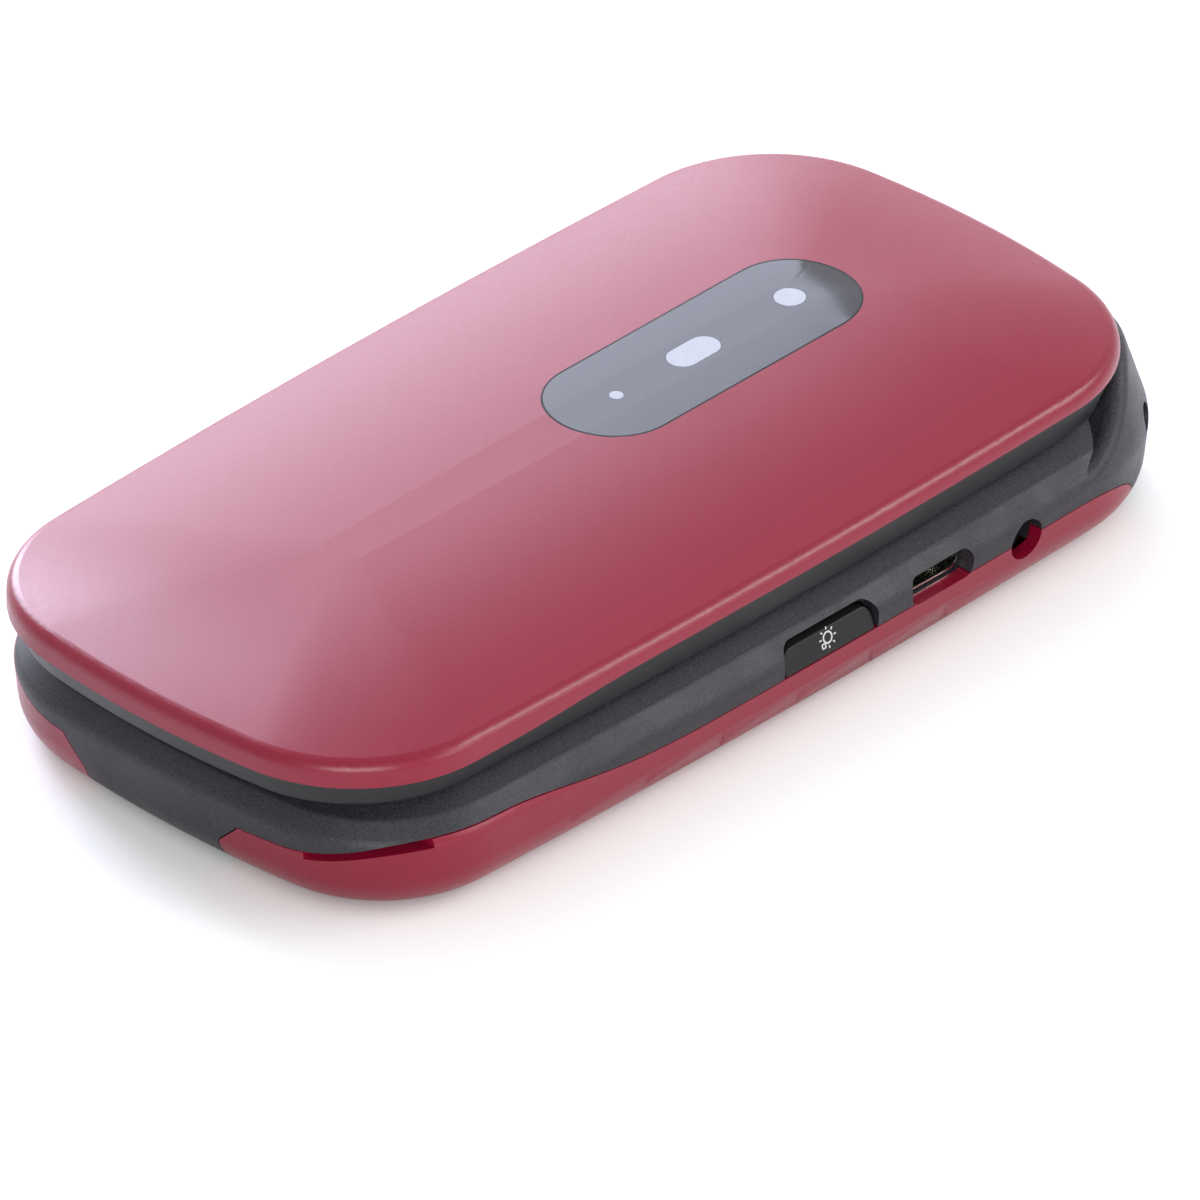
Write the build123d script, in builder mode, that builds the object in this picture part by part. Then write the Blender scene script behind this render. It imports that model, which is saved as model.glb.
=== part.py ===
from build123d import *
from collections import namedtuple
import os

# Clamshell phone, closed and lying on its back. Millimetres, +Z up.
# X is the width, Y the length with the hinge at +Y, and the free end of the lid at -Y.
# The origin is on the surface the phone lies on, under the middle of its plan.

# ---------------------------------------------------------------- plan outlines of the two halves
Form = namedtuple("Form", "centre_y half_length half_width end_bow side_bow free_radius hinge_radius")
LID = Form(-1.5, 53.5, 26.65, 3.3, 1.25, 15.0, 15.0)
BASE = Form(1.08, 53.92, 27.67, 2.75, 1.2, 14.5, 15.8)

# ---------------------------------------------------------------- levels of the base
WIDEST = 7.8                    # the base is widest here
SHOULDER, SHOULDER_INSET = 9.6, 1.7
DECK, DECK_INSET = 11.0, 4.2    # flat deck round the keypad
SIDE_DRAFT = 6                  # degrees, below the widest level
UNDER_RADIUS = 4.6              # rounding between the side and the underside
COVER_WALL = 1.2                # floor of the rear cover
CEILING = 9.6                   # underside of the deck

# ---------------------------------------------------------------- levels of the lid
LID_FACE, LID_FACE_INSET = 11.7, 1.5    # the lid's inner face
LID_EDGE = 16.8                 # where the side of the lid meets its crowned top
CROWN_RISE = 3.4
CROWN_STEPS = (0, 4, 10, 16, 21, 24.3)
LID_EDGE_RADIUS = 1.4
LID_TOP = LID_EDGE + CROWN_RISE
ABOVE_LID = LID_TOP + 1
LID_WALL = 1.3
FRAME_FLOOR = 1.3               # the inner frame behind its face
SIDE_BAND_TOP, SIDE_BAND_INSET = 15.4, 0.25

# ---------------------------------------------------------------- hinge
HINGE_Y, HINGE_Z = 48.6, 9.0
BARREL_RADIUS = 6.1             # lid knuckle and base ears alike
BARREL_GAP = 0.45               # between a barrel and the other half
KNUCKLE_HALF = 13.5             # half the length of the lid's knuckle
EAR_GAP = 0.3                   # between the knuckle and an ear, along the axis
LID_HOLLOW_RADIUS = 7.9         # hollow across the lid's inner side that clears the ears
TAIL_START = 43.5               # from here to the hinge end the red cover is solid
SHAFT_RADIUS = 2.0
SHAFT_END = 17.0                # |x| where shaft and pin end inside the ears
RUNNING = 0.05                  # radial play of a turning shaft
FIT = 0.02                      # play between pieces that are pressed or glued together
HEEL_Y = 46.9                   # the underside ends here, ahead of the ears
EAR_TOP, EAR_TOP_INSET = 15.4, 2.4      # the ears lean in towards their tops
EAR_ROUNDING, EAR_EDGE_RADIUS = 5.0, 1.4
CHEEK = ((30.0, 7.0), (35.0, 8.05), (39.0, 9.35), (41.6, 10.9))     # sweeps up to an ear
CHEEK_LOW, EAR_LOW, CHEEK_END = 6.6, 3.2, HINGE_Y - 4.6

# ---------------------------------------------------------------- keypad
KEY_WIDTH, KEY_HEIGHT = 13.6, 10.2
KEY_PITCH_X, KEY_PITCH_Y = 15.0, 12.2
FIRST_ROW_Y = 5.0
KEY_TOP = 11.3
KEYPAD_Y, KEYPAD_WIDTH, KEYPAD_LENGTH = -1.5, 44.8, 76.2
KEYPAD_FLOOR = 10.7             # shallow recess of the deck round the keys
KEY_GAP = 0.2
KEY_CORNER = 2.6
FLANGE, FLANGE_LOW, FLANGE_TOP = 0.5, 8.75, 9.5
KEY_TRAVEL = 0.35
KEY_EDGE_RADIUS = 0.4
STEM_RADIUS = 1.5               # the post of a key over its dome
SHEET_TOP = 8.05                # top of the dome sheet
STEM_LOW = SHEET_TOP + KEY_TRAVEL + 0.05
DOME_RADIUS, DOME_HEIGHT = 2.2, 0.03
RING_Y, RING_RADIUS, OK_RADIUS = 23.8, 10.0, 4.3
RING_LOW, RING_FLANGE_TOP = 8.8, 9.2            # low enough for the ring's tilt
RING_HOLE_RADIUS = OK_RADIUS + 0.4
MENU_KEY_X, MENU_KEY_WIDTH = 16.6, 10.4
SOFT_KEY_Y, SOFT_KEY_HEIGHT = 29.8, 7.4
CALL_KEY_Y, CALL_KEY_HEIGHT = 18.4, 9.0
KEY_PLACES = [
    (column * KEY_PITCH_X, FIRST_ROW_Y - row * KEY_PITCH_Y) for row in range(4) for column in (-1, 0, 1)
]
MENU_PLACES = [(side * MENU_KEY_X, y) for y in (SOFT_KEY_Y, CALL_KEY_Y) for side in (-1, 1)]

# ---------------------------------------------------------------- sides of the base
LIGHT_KEY_Y, LIGHT_KEY_LENGTH = 3.78, 11.25
LIGHT_KEY_LOW, LIGHT_KEY_TOP = 6.05, 8.4
LIGHT_KEY_FOOT_X, LIGHT_KEY_HEAD_X = 27.4, 26.75    # its face leans in towards the top
LIGHT_KEY_CORNER, LIGHT_KEY_GAP = 1.3, 0.35
LIGHT_DISH_X, LIGHT_DISH_TOP = 25.9, 9.1            # floor and top of the dish over it
SIDE_KEY_FACE = 25.0            # |x| inside the wall, where the key meets its flange
SIDE_KEY_Z = 7.5
SIDE_FLANGE, SIDE_FLANGE_HEIGHT, SIDE_FLANGE_REACH = 0.85, 3.5, 0.6
VOLUME_KEY_Y, VOLUME_KEY_LENGTH, VOLUME_KEY_HEIGHT = 8.0, 22.0, 2.9
VOLUME_DISH_Z, VOLUME_DISH_HEIGHT = 7.62, 3.44
VOLUME_STEM_REACH = 7.0         # from the middle of the rocker to each of its two stems
ROCKER_FLANGE_FACE, ROCKER_FLANGE_BACK, ROCKER_STEM_FOOT = 24.6, 23.9, 24.0     # |x|
USB_Y, USB_Z, USB_WIDTH, USB_HEIGHT = 18.1, 7.15, 7.4, 2.4
USB_MOUTH, USB_BACK = 25.6, 21.3
USB_OPENING = (7.9, 2.75, 1.0)  # width, height and corner radius of the hole in the wall
JACK_Y, JACK_Z, JACK_RADIUS = 29.1, 5.9, 1.8
JACK_MOUTH, JACK_DEPTH = 24.5, 12.4
JACK_LOW, JACK_TOP, JACK_WIDTH, JACK_COLLAR_RADIUS = 3.4, 7.93, 6.0, 2.45
USB_CUT_DEPTH, JACK_CUT_LENGTH = 6.4, 13.0      # windows of the board and the chassis for the two sockets
JACK_OPENING = 1.98             # hole through the wall, a little wider than the socket
COLLAR_REACH = 1.2              # the socket's collar stands this far out of its body
JACK_MIDDLE = JACK_MOUTH - JACK_DEPTH / 2 - 0.6
VOLUME_DISH_X = 26.4            # |x| of the floor of the dish round the volume rocker
FLANGE_WALL = 25.05             # |x| of the wall behind which a side key's flange lies
EYELET_X, EYELET_Y, EYELET_Z = 21.5, 50.4, 8.0
EYELET_BEND, EYELET_RADIUS = 2.7, 1.4   # the passage bends round a post
NAIL_SLOT_X, NAIL_SLOT_END, NAIL_SLOT_DEPTH = 16.3, -44.2, 0.85

# ---------------------------------------------------------------- camera plate on the lid
PLATE_Y, PLATE_LENGTH, PLATE_WIDTH = 15.95, 35.3, 12.4
PLATE_FLOOR = 19.2
PLATE_PLAY, SEAT_SPREAD = 0.12, 1.2     # the pocket round the plate, and the seat round the pocket
CAMERA_Y, CAMERA_RADIUS = 27.1, 1.45
CAMERA_HOLE_RADIUS = CAMERA_RADIUS + 0.75
WINDOW_PLAY, LENS_PLAY = 0.03, 0.05     # round the small windows, in the plate and in the cover
FLASH_Y, FLASH_LENGTH, FLASH_WIDTH = 14.8, 5.7, 3.0
INDICATOR_Y, INDICATOR_RADIUS = 5.0, 0.65
INDICATOR_LAMP = 0.6            # height of the small lamp under its light pipe

# ---------------------------------------------------------------- inside the lid
FRAME_INSIDE = LID_FACE + FRAME_FLOOR
FRAME_WALL_INSET = 2.6
POCKET_END = 39.6               # the frame's pocket ends here, ahead of the hollow for the ears
WINDOW_SEAT = 1.0
SEAT_LOW = 18.3                 # underside of the camera plate's seat
BOSS_TOP = 17.2
LID_BOARD_Y, LID_BOARD_LOW, LID_BOARD_TOP = 14.0, 15.5, 16.3
LID_BOARD_WIDTH, LID_BOARD_LENGTH, BOARD_HOLE_RADIUS = 30.0, 42.0, 1.1
CAMERA_BLOCK, LENS_RADIUS, LENS_BORE_RADIUS = 7.0, 2.0, 1.1
SADDLE_LOW, SADDLE_TOP, SADDLE_END = 11.75, 15.35, 51.3
SADDLE_FRONT = HINGE_Y - 9.0
CARTRIDGE_RADIUS, CARTRIDGE_START, CARTRIDGE_END = 4.0, -13.3, 0.8
SHAFT_TIP = -7.0                # the shaft ends here inside the cartridge
COIL_RADIUS, COIL_THICKNESS, COIL_LENGTH = 3.5, 0.15, 5.0
PIN_END, PIN_BORE_RADIUS = 9.5, 1.3     # the hollow pin ends here inside the knuckle

# ---------------------------------------------------------------- display and earpiece
WINDOW_Y, WINDOW_WIDTH, WINDOW_LENGTH = -10.0, 42.0, 56.0
WINDOW_LEDGE, WINDOW_CORNER, WINDOW_SINK = 1.7, 2.6, 0.12
DISPLAY_WIDTH, DISPLAY_LENGTH, DISPLAY_DEPTH = 40.6, 54.6, 2.2
EARPIECE_Y, EARPIECE_LENGTH, EARPIECE_WIDTH = -46.2, 13.0, 2.4
GRILLE_SEAT, GRILLE_SINK, GRILLE_THICKNESS = 0.7, 0.15, 0.5
BUMPER_RADIUS, BUMPER_TIP = 1.4, DECK + 0.08    # the lid's bumpers end just above the deck
BUMPER_PLACES = ((-15.5, -45.0), (15.5, -45.0), (-21.5, 38.5), (21.5, 38.5))

# ---------------------------------------------------------------- inside the base
BATTERY_Y, BATTERY_WIDTH, BATTERY_LENGTH = -11.0, 40.0, 54.0
BATTERY_LOW, BATTERY_TOP = 1.5, 5.9
CHASSIS_LOW, CHASSIS_TOP = 6.1, 6.9
BOARD_LOW, BOARD_TOP = 7.15, 7.95
PRIORITY_Y, PRIORITY_LENGTH, PRIORITY_WIDTH = 33.0, 12.5, 8.6
PRIORITY_DISH, PRIORITY_DISH_DEPTH, PRIORITY_SINK = 2.0, 0.35, 0.45
PRIORITY_FLANGE_TOP = COVER_WALL + 0.7
BLOCK_HALF, BLOCK_FLARE, BLOCK_END = 8.2, 10.8, -43.5   # opening of the rear cover at the free end
BLOCK_X = -1.7                  # middle of that opening
BLOCK_BEND, BLOCK_SHOULDER, BLOCK_TOP = 3.4, 5.9, 5.95   # levels of its sides, and its top
FRAME_INSET = 2.7               # inner side of the frame's walls
COVER_RIM_INSET = 1.8           # rim of the frame that stands inside the rear cover
RIM_LOW, RIM_TOP, RIM_END = 4.6, 8.2, 44.0
BULKHEAD_HALF = 19.0            # half the width of the wall ahead of the hinge
ROOM_END = 40.8                 # the room inside the base ends here, ahead of the notch
NOTCH_HALF = KNUCKLE_HALF + EAR_GAP
MICROPHONE_Y = -45.5
CONTACT_X, CONTACT_Y, CONTACT_WIDTH, CONTACT_LENGTH = 3.6, -45.5, 2.4, 2.7
CONTACT_SINK, CONTACT_DEPTH = 0.04, 0.8
ANTENNA_Y, ANTENNA_LOW = -41.5, 2.0
SOCKET_WALL = 0.8               # plastic behind the bore of the headphone socket
CARD_X, CARD_Y, CARD_LENGTH, CARD_WIDTH = -6.0, -8.0, 25.0, 15.0
SPEAKER_X, SPEAKER_Y = -14.6, 31.0
MOTOR_X, MOTOR_Y, MOTOR_Z = 7.5, 36.6, 3.6
MOTOR_RADIUS, MOTOR_LENGTH, MOTOR_SHAFT_RADIUS, WEIGHT_RADIUS = 2.0, 8.0, 0.4, 2.1
SWITCH_X = 21.4
SWITCH_Z = 6.63                 # the side keys' stems press here, under the main board
SWITCH_PLACES = (
    (SWITCH_X, LIGHT_KEY_Y),
    (-SWITCH_X, VOLUME_KEY_Y - VOLUME_STEM_REACH),
    (-SWITCH_X, VOLUME_KEY_Y + VOLUME_STEM_REACH),
)
SIDE_STEM_RADIUS = 0.4
PRIORITY_SWITCH = 0.5           # height of the switch over the priority key

FAR = 70                        # past every outline, for cuts that run right through
INSIDE, OUTSIDE = 20, 40        # |x| where the cuts through the side walls start and end

# ---------------------------------------------------------------- screws, shared by both halves
SCREW_RADIUS, SCREW_HEAD_RADIUS, SCREW_HEAD = 0.8, 1.5, 0.8
SCREW_SEAT = LID_FACE + 0.9     # the lid's screw heads sit this deep in its face
BOSS_RADIUS = 2.2
LID_SCREW_LENGTH, BASE_SCREW_LENGTH = 3.6, 2.9
CROSS_LENGTH, CROSS_WIDTH, CROSS_DEPTH = 1.7, 0.35, 0.4
LID_SCREWS = ((-19.5, -41.5), (19.5, -41.5), (-19.5, 35.0), (19.5, 35.0))
BASE_SCREWS = ((-21.3, -41.2), (21.3, -41.2), (-21.3, 36.6), (21.3, 36.6))

FOOT = (Align.CENTER, Align.CENTER, Align.MIN)

os.makedirs("parts", exist_ok=True)


def finish(part, label):
    """Label a finished piece and write it."""
    part.label = label
    export_step(part, f"parts/{label}.step")


# ---------------------------------------------------------------- shapes that several pieces share
def outline(form, height, inset=0.0, crown_step=0.0):
    """Plan outline of a half: a rounded rectangle with bowed ends and sides, moved inwards.
    Steps up the crown also shrink the corner radii in proportion."""
    total = inset + crown_step
    edge_x = form.half_width - total
    edge_y = form.half_length - total
    corner_x = edge_x - form.side_bow * (edge_y / form.half_length) ** 2
    corner_y = edge_y - form.end_bow * (edge_x / form.half_width) ** 2
    shrink = edge_x / (form.half_width - inset)
    with BuildSketch(Plane((0, form.centre_y, height))) as sketch:
        with BuildLine():
            ThreePointArc((-corner_x, -corner_y), (0, -edge_y), (corner_x, -corner_y))
            ThreePointArc((corner_x, -corner_y), (edge_x, 0), (corner_x, corner_y))
            ThreePointArc((corner_x, corner_y), (0, edge_y), (-corner_x, corner_y))
            ThreePointArc((-corner_x, corner_y), (-edge_x, 0), (-corner_x, -corner_y))
        make_face()
        fillet(sketch.vertices().group_by(Axis.Y)[0], (form.free_radius - inset) * shrink)
        fillet(sketch.vertices().group_by(Axis.Y)[-1], (form.hinge_radius - inset) * shrink)
    return sketch.sketch


def level_edges(part, height):
    """The edges of a part that lie flat at a height."""
    return part.edges().filter_by(
        lambda edge: abs(edge.center().Z - height) < 0.02 and edge.bounding_box().size.Z < 0.05
    )


def lid_crown(foot, inset=0.0, drop=0.0, mode=Mode.ADD):
    """The lid's side wall from a foot up, and the pillow-shaped crown on it."""
    extrude(outline(LID, foot, inset), amount=LID_EDGE - drop - foot, mode=mode)
    levels = []
    for step in CROWN_STEPS:
        rise = CROWN_RISE * (1 - (1 - step / LID.half_width) ** 2)
        levels.append(outline(LID, LID_EDGE + rise - drop, inset, step))
    loft(levels, mode=mode)


def hinge_cylinder(radius, x_from, x_to):
    """A cylinder on the hinge axis."""
    with BuildPart() as cylinder:
        with BuildSketch(Plane.YZ.offset(x_from)):
            with Locations((HINGE_Y, HINGE_Z)):
                Circle(radius)
        extrude(amount=x_to - x_from)
    return cylinder.part


def block(x, y, z):
    """A box between two values on each axis."""
    with BuildPart() as solid:
        with BuildSketch(Plane(((x[0] + x[1]) / 2, (y[0] + y[1]) / 2, z[0]))):
            Rectangle(x[1] - x[0], y[1] - y[0])
        extrude(amount=z[1] - z[0])
    return solid.part


def side_profile(points):
    """A solid across the width from an outline seen along X, given as (y, z) points."""
    with BuildPart() as solid:
        with BuildSketch(Plane.YZ):
            with BuildLine():
                Polyline(*points, close=True)
            make_face()
        extrude(amount=FAR, both=True)
    return solid.part


def below_parting(points, drop=0.0):
    """Everything under a parting line that runs along the phone, as (y, z) points."""
    with BuildPart() as solid:
        with BuildSketch(Plane.YZ):
            with BuildLine():
                shifted = [(y, z - drop) for y, z in points]
                line = Spline(*shifted)
                Polyline(line @ 1, (points[-1][0], -FAR), (points[0][0], -FAR), line @ 0)
            make_face()
        extrude(amount=FAR, both=True)
    return solid.part


# Lower edge of the red cover on the lid: low at the free end, one step up, then level.
LID_PARTING = (
    (-70, 14.5), (-52, 14.5), (-40, 14.52), (-34, 14.62), (-28, 14.95),
    (-22, 15.28), (-16, 15.39), (0, 15.4), (30, 15.4), (70, 15.4),
)
# Upper edge of the rear cover: dips at the free end, one step down past the front corner,
# level along the sockets, and down under the body ahead of the ears.
BASE_PARTING = (
    (-58, 4.6), (-52.7, 5.6), (-51, 6.5), (-48.5, 7.6), (-45, 8.15), (-40, 8.28), (-34, 8.15),
    (-28, 7.45), (-22, 6.55), (-16, 6.08), (-8, 6.0), (10, 6.0), (30, 6.0), (37, 5.95),
    (41.0, 5.5), (43.4, 4.5), (45.0, 2.4), (45.6, -1),
)

# The base from the surface it lies on up to its deck, without the hinge ears.
with BuildPart() as base_form:
    loft(
        [outline(BASE, WIDEST), outline(BASE, SHOULDER, SHOULDER_INSET), outline(BASE, DECK, DECK_INSET)],
        ruled=True,
    )
    extrude(outline(BASE, WIDEST), amount=-WIDEST, taper=SIDE_DRAFT)
    fillet(level_edges(base_form, 0), UNDER_RADIUS)
    fillet(level_edges(base_form, SHOULDER), 0.8)
    fillet(level_edges(base_form, WIDEST), 1.5)

# The body ends at the hinge axis, and under it at the heel, so that the lid's tail can swing past.
BEYOND_HEEL = (
    (HEEL_Y, 0), (HINGE_Y, HINGE_Z - BARREL_RADIUS), (HINGE_Y, 20), (FAR, 20), (FAR, -5), (HEEL_Y, -5),
)
with BuildPart() as base_body:
    add(base_form.part)
    add(side_profile(BEYOND_HEEL), mode=Mode.SUBTRACT)

# The hinge ears and the cheeks that sweep up to them from the shoulders, seen along X.
with BuildPart() as ear_profile:
    with BuildSketch(Plane.YZ):
        with BuildLine():
            meeting = BARREL_RADIUS / 2 ** 0.5
            cheek = Spline(
                *CHEEK, (HINGE_Y - meeting, HINGE_Z + meeting), tangents=((1, 0.15), (1, 1)),
            )
            Polyline(cheek @ 1, (HINGE_Y, HINGE_Z), (HINGE_Y, EAR_LOW), (CHEEK[0][0], EAR_LOW), cheek @ 0)
        make_face()
        with Locations((HINGE_Y, HINGE_Z)):
            Circle(BARREL_RADIUS)
    extrude(amount=FAR, both=True)

# Their outside follows the plan outline and leans in towards the top.
with BuildPart() as ears:
    loft([outline(BASE, WIDEST), outline(BASE, EAR_TOP, EAR_TOP_INSET)], ruled=True)
    extrude(outline(BASE, WIDEST), amount=-WIDEST, taper=SIDE_DRAFT)
    fillet(level_edges(ears, 0), UNDER_RADIUS)
    fillet(level_edges(ears, WIDEST), EAR_ROUNDING)
    add(ear_profile.part, mode=Mode.INTERSECT)
    # the edges that sweep up and over, and the seams that they cross
    rim = ears.edges().filter_by(
        lambda edge: edge.geom_type == GeomType.BSPLINE
        and abs(edge.center().X) > KNUCKLE_HALF + 0.5
        and edge.center().Z > WIDEST - 0.5
        and edge.bounding_box().size.Z > 0.3
    )
    fillet(rim, EAR_EDGE_RADIUS)
    with BuildSketch(Plane.XY):
        Rectangle(2 * (KNUCKLE_HALF + EAR_GAP), 4 * FAR)
    extrude(amount=FAR, mode=Mode.SUBTRACT)
    add(block((-FAR, FAR), (0, CHEEK_END), (0, CHEEK_LOW)), mode=Mode.SUBTRACT)

# The lid's outside above its inner face.
with BuildPart() as lid_form:
    lid_crown(LID_FACE)
    fillet(level_edges(lid_form, LID_EDGE), LID_EDGE_RADIUS)

# The hollow of the red cover, which ends ahead of the solid tail over the hinge.
with BuildPart() as lid_hollow:
    lid_crown(LID_FACE - 1, LID_WALL, LID_WALL)
    split(bisect_by=Plane.XZ.offset(-TAIL_START))


def slot_prism(length, width, low, top, centre_y, spread=0.0):
    """An upright prism with an oval section that runs along Y."""
    with BuildPart() as prism:
        with BuildSketch(Plane((0, centre_y, low))):
            SlotOverall(length + 2 * spread, width + 2 * spread, rotation=90)
        extrude(amount=top - low)
    return prism.part


def upright_cylinder(radius, low, top, x=0.0, y=0.0):
    """A round post or hole."""
    with BuildPart() as post:
        with BuildSketch(Plane((x, y, low))):
            Circle(radius)
        extrude(amount=top - low)
    return post.part


def across(x_from, x_to, y, z, length, height, radius):
    """A bar along X with a rounded section, for keys and openings in the side walls."""
    with BuildPart() as bar:
        with BuildSketch(Plane.YZ.offset(x_from)):
            with Locations((y, z)):
                RectangleRounded(length, height, radius)
        extrude(amount=x_to - x_from)
    return bar.part


def along_x(radius, x_from, x_to, y, z):
    """A round bar or bore along X."""
    with BuildPart() as bar:
        with BuildSketch(Plane.YZ.offset(x_from)):
            with Locations((y, z)):
                Circle(radius)
        extrude(amount=x_to - x_from)
    return bar.part


def light_key_bar(x_from, top, gap):
    """The light key's section, or a hole round it: round at the top, square where the rear cover starts."""
    low = LIGHT_KEY_LOW - 2 * gap
    with BuildPart() as bar:
        with BuildSketch(Plane.YZ.offset(x_from)):
            with Locations((LIGHT_KEY_Y, low)):
                Rectangle(LIGHT_KEY_LENGTH + 2 * gap, top - low, align=(Align.CENTER, Align.MIN))
            fillet(vertices().group_by(Axis.Y)[-1], LIGHT_KEY_CORNER + gap)
        extrude(amount=OUTSIDE - x_from)
    return bar.part


# ================================================================ the lid
with BuildPart() as lid_outer_cover:
    add(lid_form.part)
    add(lid_hollow.part, mode=Mode.SUBTRACT)
    # seat of the camera plate, its pocket, and the openings through it
    add(slot_prism(PLATE_LENGTH, PLATE_WIDTH, SEAT_LOW, PLATE_FLOOR, PLATE_Y, SEAT_SPREAD))
    pocket = slot_prism(PLATE_LENGTH, PLATE_WIDTH, PLATE_FLOOR, ABOVE_LID, PLATE_Y, PLATE_PLAY)
    flash_hole = slot_prism(FLASH_LENGTH, FLASH_WIDTH, SEAT_LOW - 1, LID_TOP, FLASH_Y, LENS_PLAY)
    camera_hole = upright_cylinder(CAMERA_HOLE_RADIUS, SEAT_LOW - 1, LID_TOP, 0, CAMERA_Y)
    indicator_hole = upright_cylinder(INDICATOR_RADIUS + LENS_PLAY, SEAT_LOW - 1, LID_TOP, 0, INDICATOR_Y)
    for room in (pocket, camera_hole, flash_hole, indicator_hole):
        add(room, mode=Mode.SUBTRACT)
    # everything under the parting line belongs to the inner frame, apart from the screw bosses
    add(below_parting(LID_PARTING), mode=Mode.SUBTRACT)
    for x, y in LID_SCREWS:
        add(upright_cylinder(BOSS_RADIUS, FRAME_INSIDE + 0.05, BOSS_TOP, x, y))
        add(upright_cylinder(SCREW_RADIUS, LID_FACE, BOSS_TOP - 0.6, x, y), mode=Mode.SUBTRACT)
finish(lid_outer_cover.part, "lid_outer_cover")

# The inner frame: bevelled side band, face, and a hollow across it that clears the hinge ears.
with BuildPart() as frame_pocket:
    extrude(outline(LID, FRAME_INSIDE, FRAME_WALL_INSET), amount=4)
    split(bisect_by=Plane.XZ.offset(-POCKET_END))

with BuildPart() as lid_inner_frame:
    loft(
        [outline(LID, LID_FACE, LID_FACE_INSET), outline(LID, SIDE_BAND_TOP, SIDE_BAND_INSET)],
        ruled=True,
    )
    fillet(level_edges(lid_inner_frame, LID_FACE), 0.6)
    add(below_parting(LID_PARTING, 0.08), mode=Mode.INTERSECT)
    extrude(outline(LID, FRAME_INSIDE, LID_WALL + 0.15), amount=SIDE_BAND_TOP - FRAME_INSIDE - 0.15)
    add(frame_pocket.part, mode=Mode.SUBTRACT)
    add(hinge_cylinder(LID_HOLLOW_RADIUS, -FAR, FAR), mode=Mode.SUBTRACT)
    add(block((-FAR, FAR), (HINGE_Y, FAR), (0, FAR)), mode=Mode.SUBTRACT)
    # display window: a seat in the face, and the opening behind it
    with BuildSketch(Plane((0, WINDOW_Y, LID_FACE))):
        RectangleRounded(WINDOW_WIDTH, WINDOW_LENGTH, WINDOW_CORNER)
    extrude(amount=WINDOW_SEAT, mode=Mode.SUBTRACT)
    with BuildSketch(Plane((0, WINDOW_Y, LID_FACE))):
        RectangleRounded(WINDOW_WIDTH - 2 * WINDOW_LEDGE, WINDOW_LENGTH - 2 * WINDOW_LEDGE, 1.5)
    extrude(amount=FRAME_FLOOR, mode=Mode.SUBTRACT)
    # earpiece: a wider seat for the grille, and the slot behind it
    with BuildSketch(Plane((0, EARPIECE_Y, LID_FACE))):
        SlotOverall(EARPIECE_LENGTH, EARPIECE_WIDTH)
    extrude(amount=GRILLE_SEAT, mode=Mode.SUBTRACT)
    with BuildSketch(Plane((0, EARPIECE_Y, LID_FACE))):
        SlotOverall(EARPIECE_LENGTH - 1.6, EARPIECE_WIDTH - 0.9)
    extrude(amount=FRAME_FLOOR, mode=Mode.SUBTRACT)
    # screws come in from the face, between the two halves of the phone
    with Locations(Plane.XY.offset(LID_FACE)):
        with Locations(*[(x, y, 0) for x, y in LID_SCREWS]):
            Cylinder(SCREW_HEAD_RADIUS + 0.15, SCREW_SEAT - LID_FACE, align=FOOT, mode=Mode.SUBTRACT)
            Cylinder(SCREW_RADIUS + 0.1, FRAME_FLOOR, align=FOOT, mode=Mode.SUBTRACT)
finish(lid_inner_frame.part, "lid_inner_frame")

# The knuckle on the lid, with the saddle that joins it to the frame and the tail of the cover.
with BuildPart() as hinge_barrel:
    with BuildSketch(Plane.YZ.offset(-KNUCKLE_HALF)):
        with Locations((HINGE_Y, HINGE_Z)):
            Circle(LID_HOLLOW_RADIUS - FIT)
        with BuildLine():
            Polyline(
                (SADDLE_FRONT, SADDLE_LOW), (SADDLE_FRONT + 3.6, SADDLE_LOW), (HINGE_Y, HINGE_Z),
                (SADDLE_END, 12.0), (SADDLE_END, SADDLE_TOP), (SADDLE_FRONT, SADDLE_TOP), close=True,
            )
        make_face(mode=Mode.INTERSECT)
        with Locations((HINGE_Y, HINGE_Z)):
            Circle(BARREL_RADIUS)
    extrude(amount=2 * KNUCKLE_HALF)
    add(hinge_cylinder(CARTRIDGE_RADIUS + FIT, -KNUCKLE_HALF, CARTRIDGE_END + FIT), mode=Mode.SUBTRACT)
    add(hinge_cylinder(COIL_RADIUS + 0.3, CARTRIDGE_END + 1, PIN_END - 0.4), mode=Mode.SUBTRACT)
    add(hinge_cylinder(SHAFT_RADIUS + RUNNING, PIN_END - 1, KNUCKLE_HALF), mode=Mode.SUBTRACT)
finish(hinge_barrel.part, "hinge_barrel")

# Spring cartridge in the knuckle, bored for the shaft that the base holds still.
with BuildPart() as hinge_cartridge:
    with BuildSketch(Plane.XZ):
        with BuildLine():
            Polyline(
                (CARTRIDGE_START, SHAFT_RADIUS + RUNNING), (CARTRIDGE_START, CARTRIDGE_RADIUS),
                (CARTRIDGE_START + 5, CARTRIDGE_RADIUS), (CARTRIDGE_START + 5, CARTRIDGE_RADIUS - 0.6),
                (CARTRIDGE_END - 2, CARTRIDGE_RADIUS - 0.6), (CARTRIDGE_END - 2, CARTRIDGE_RADIUS),
                (CARTRIDGE_END, CARTRIDGE_RADIUS), (CARTRIDGE_END, 0),
                (SHAFT_TIP + 0.3, 0), (SHAFT_TIP + 0.3, SHAFT_RADIUS + RUNNING), close=True,
            )
        make_face()
    revolve(axis=Axis.X)
finish(Pos(0, HINGE_Y, HINGE_Z) * hinge_cartridge.part, "hinge_cartridge")

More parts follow.
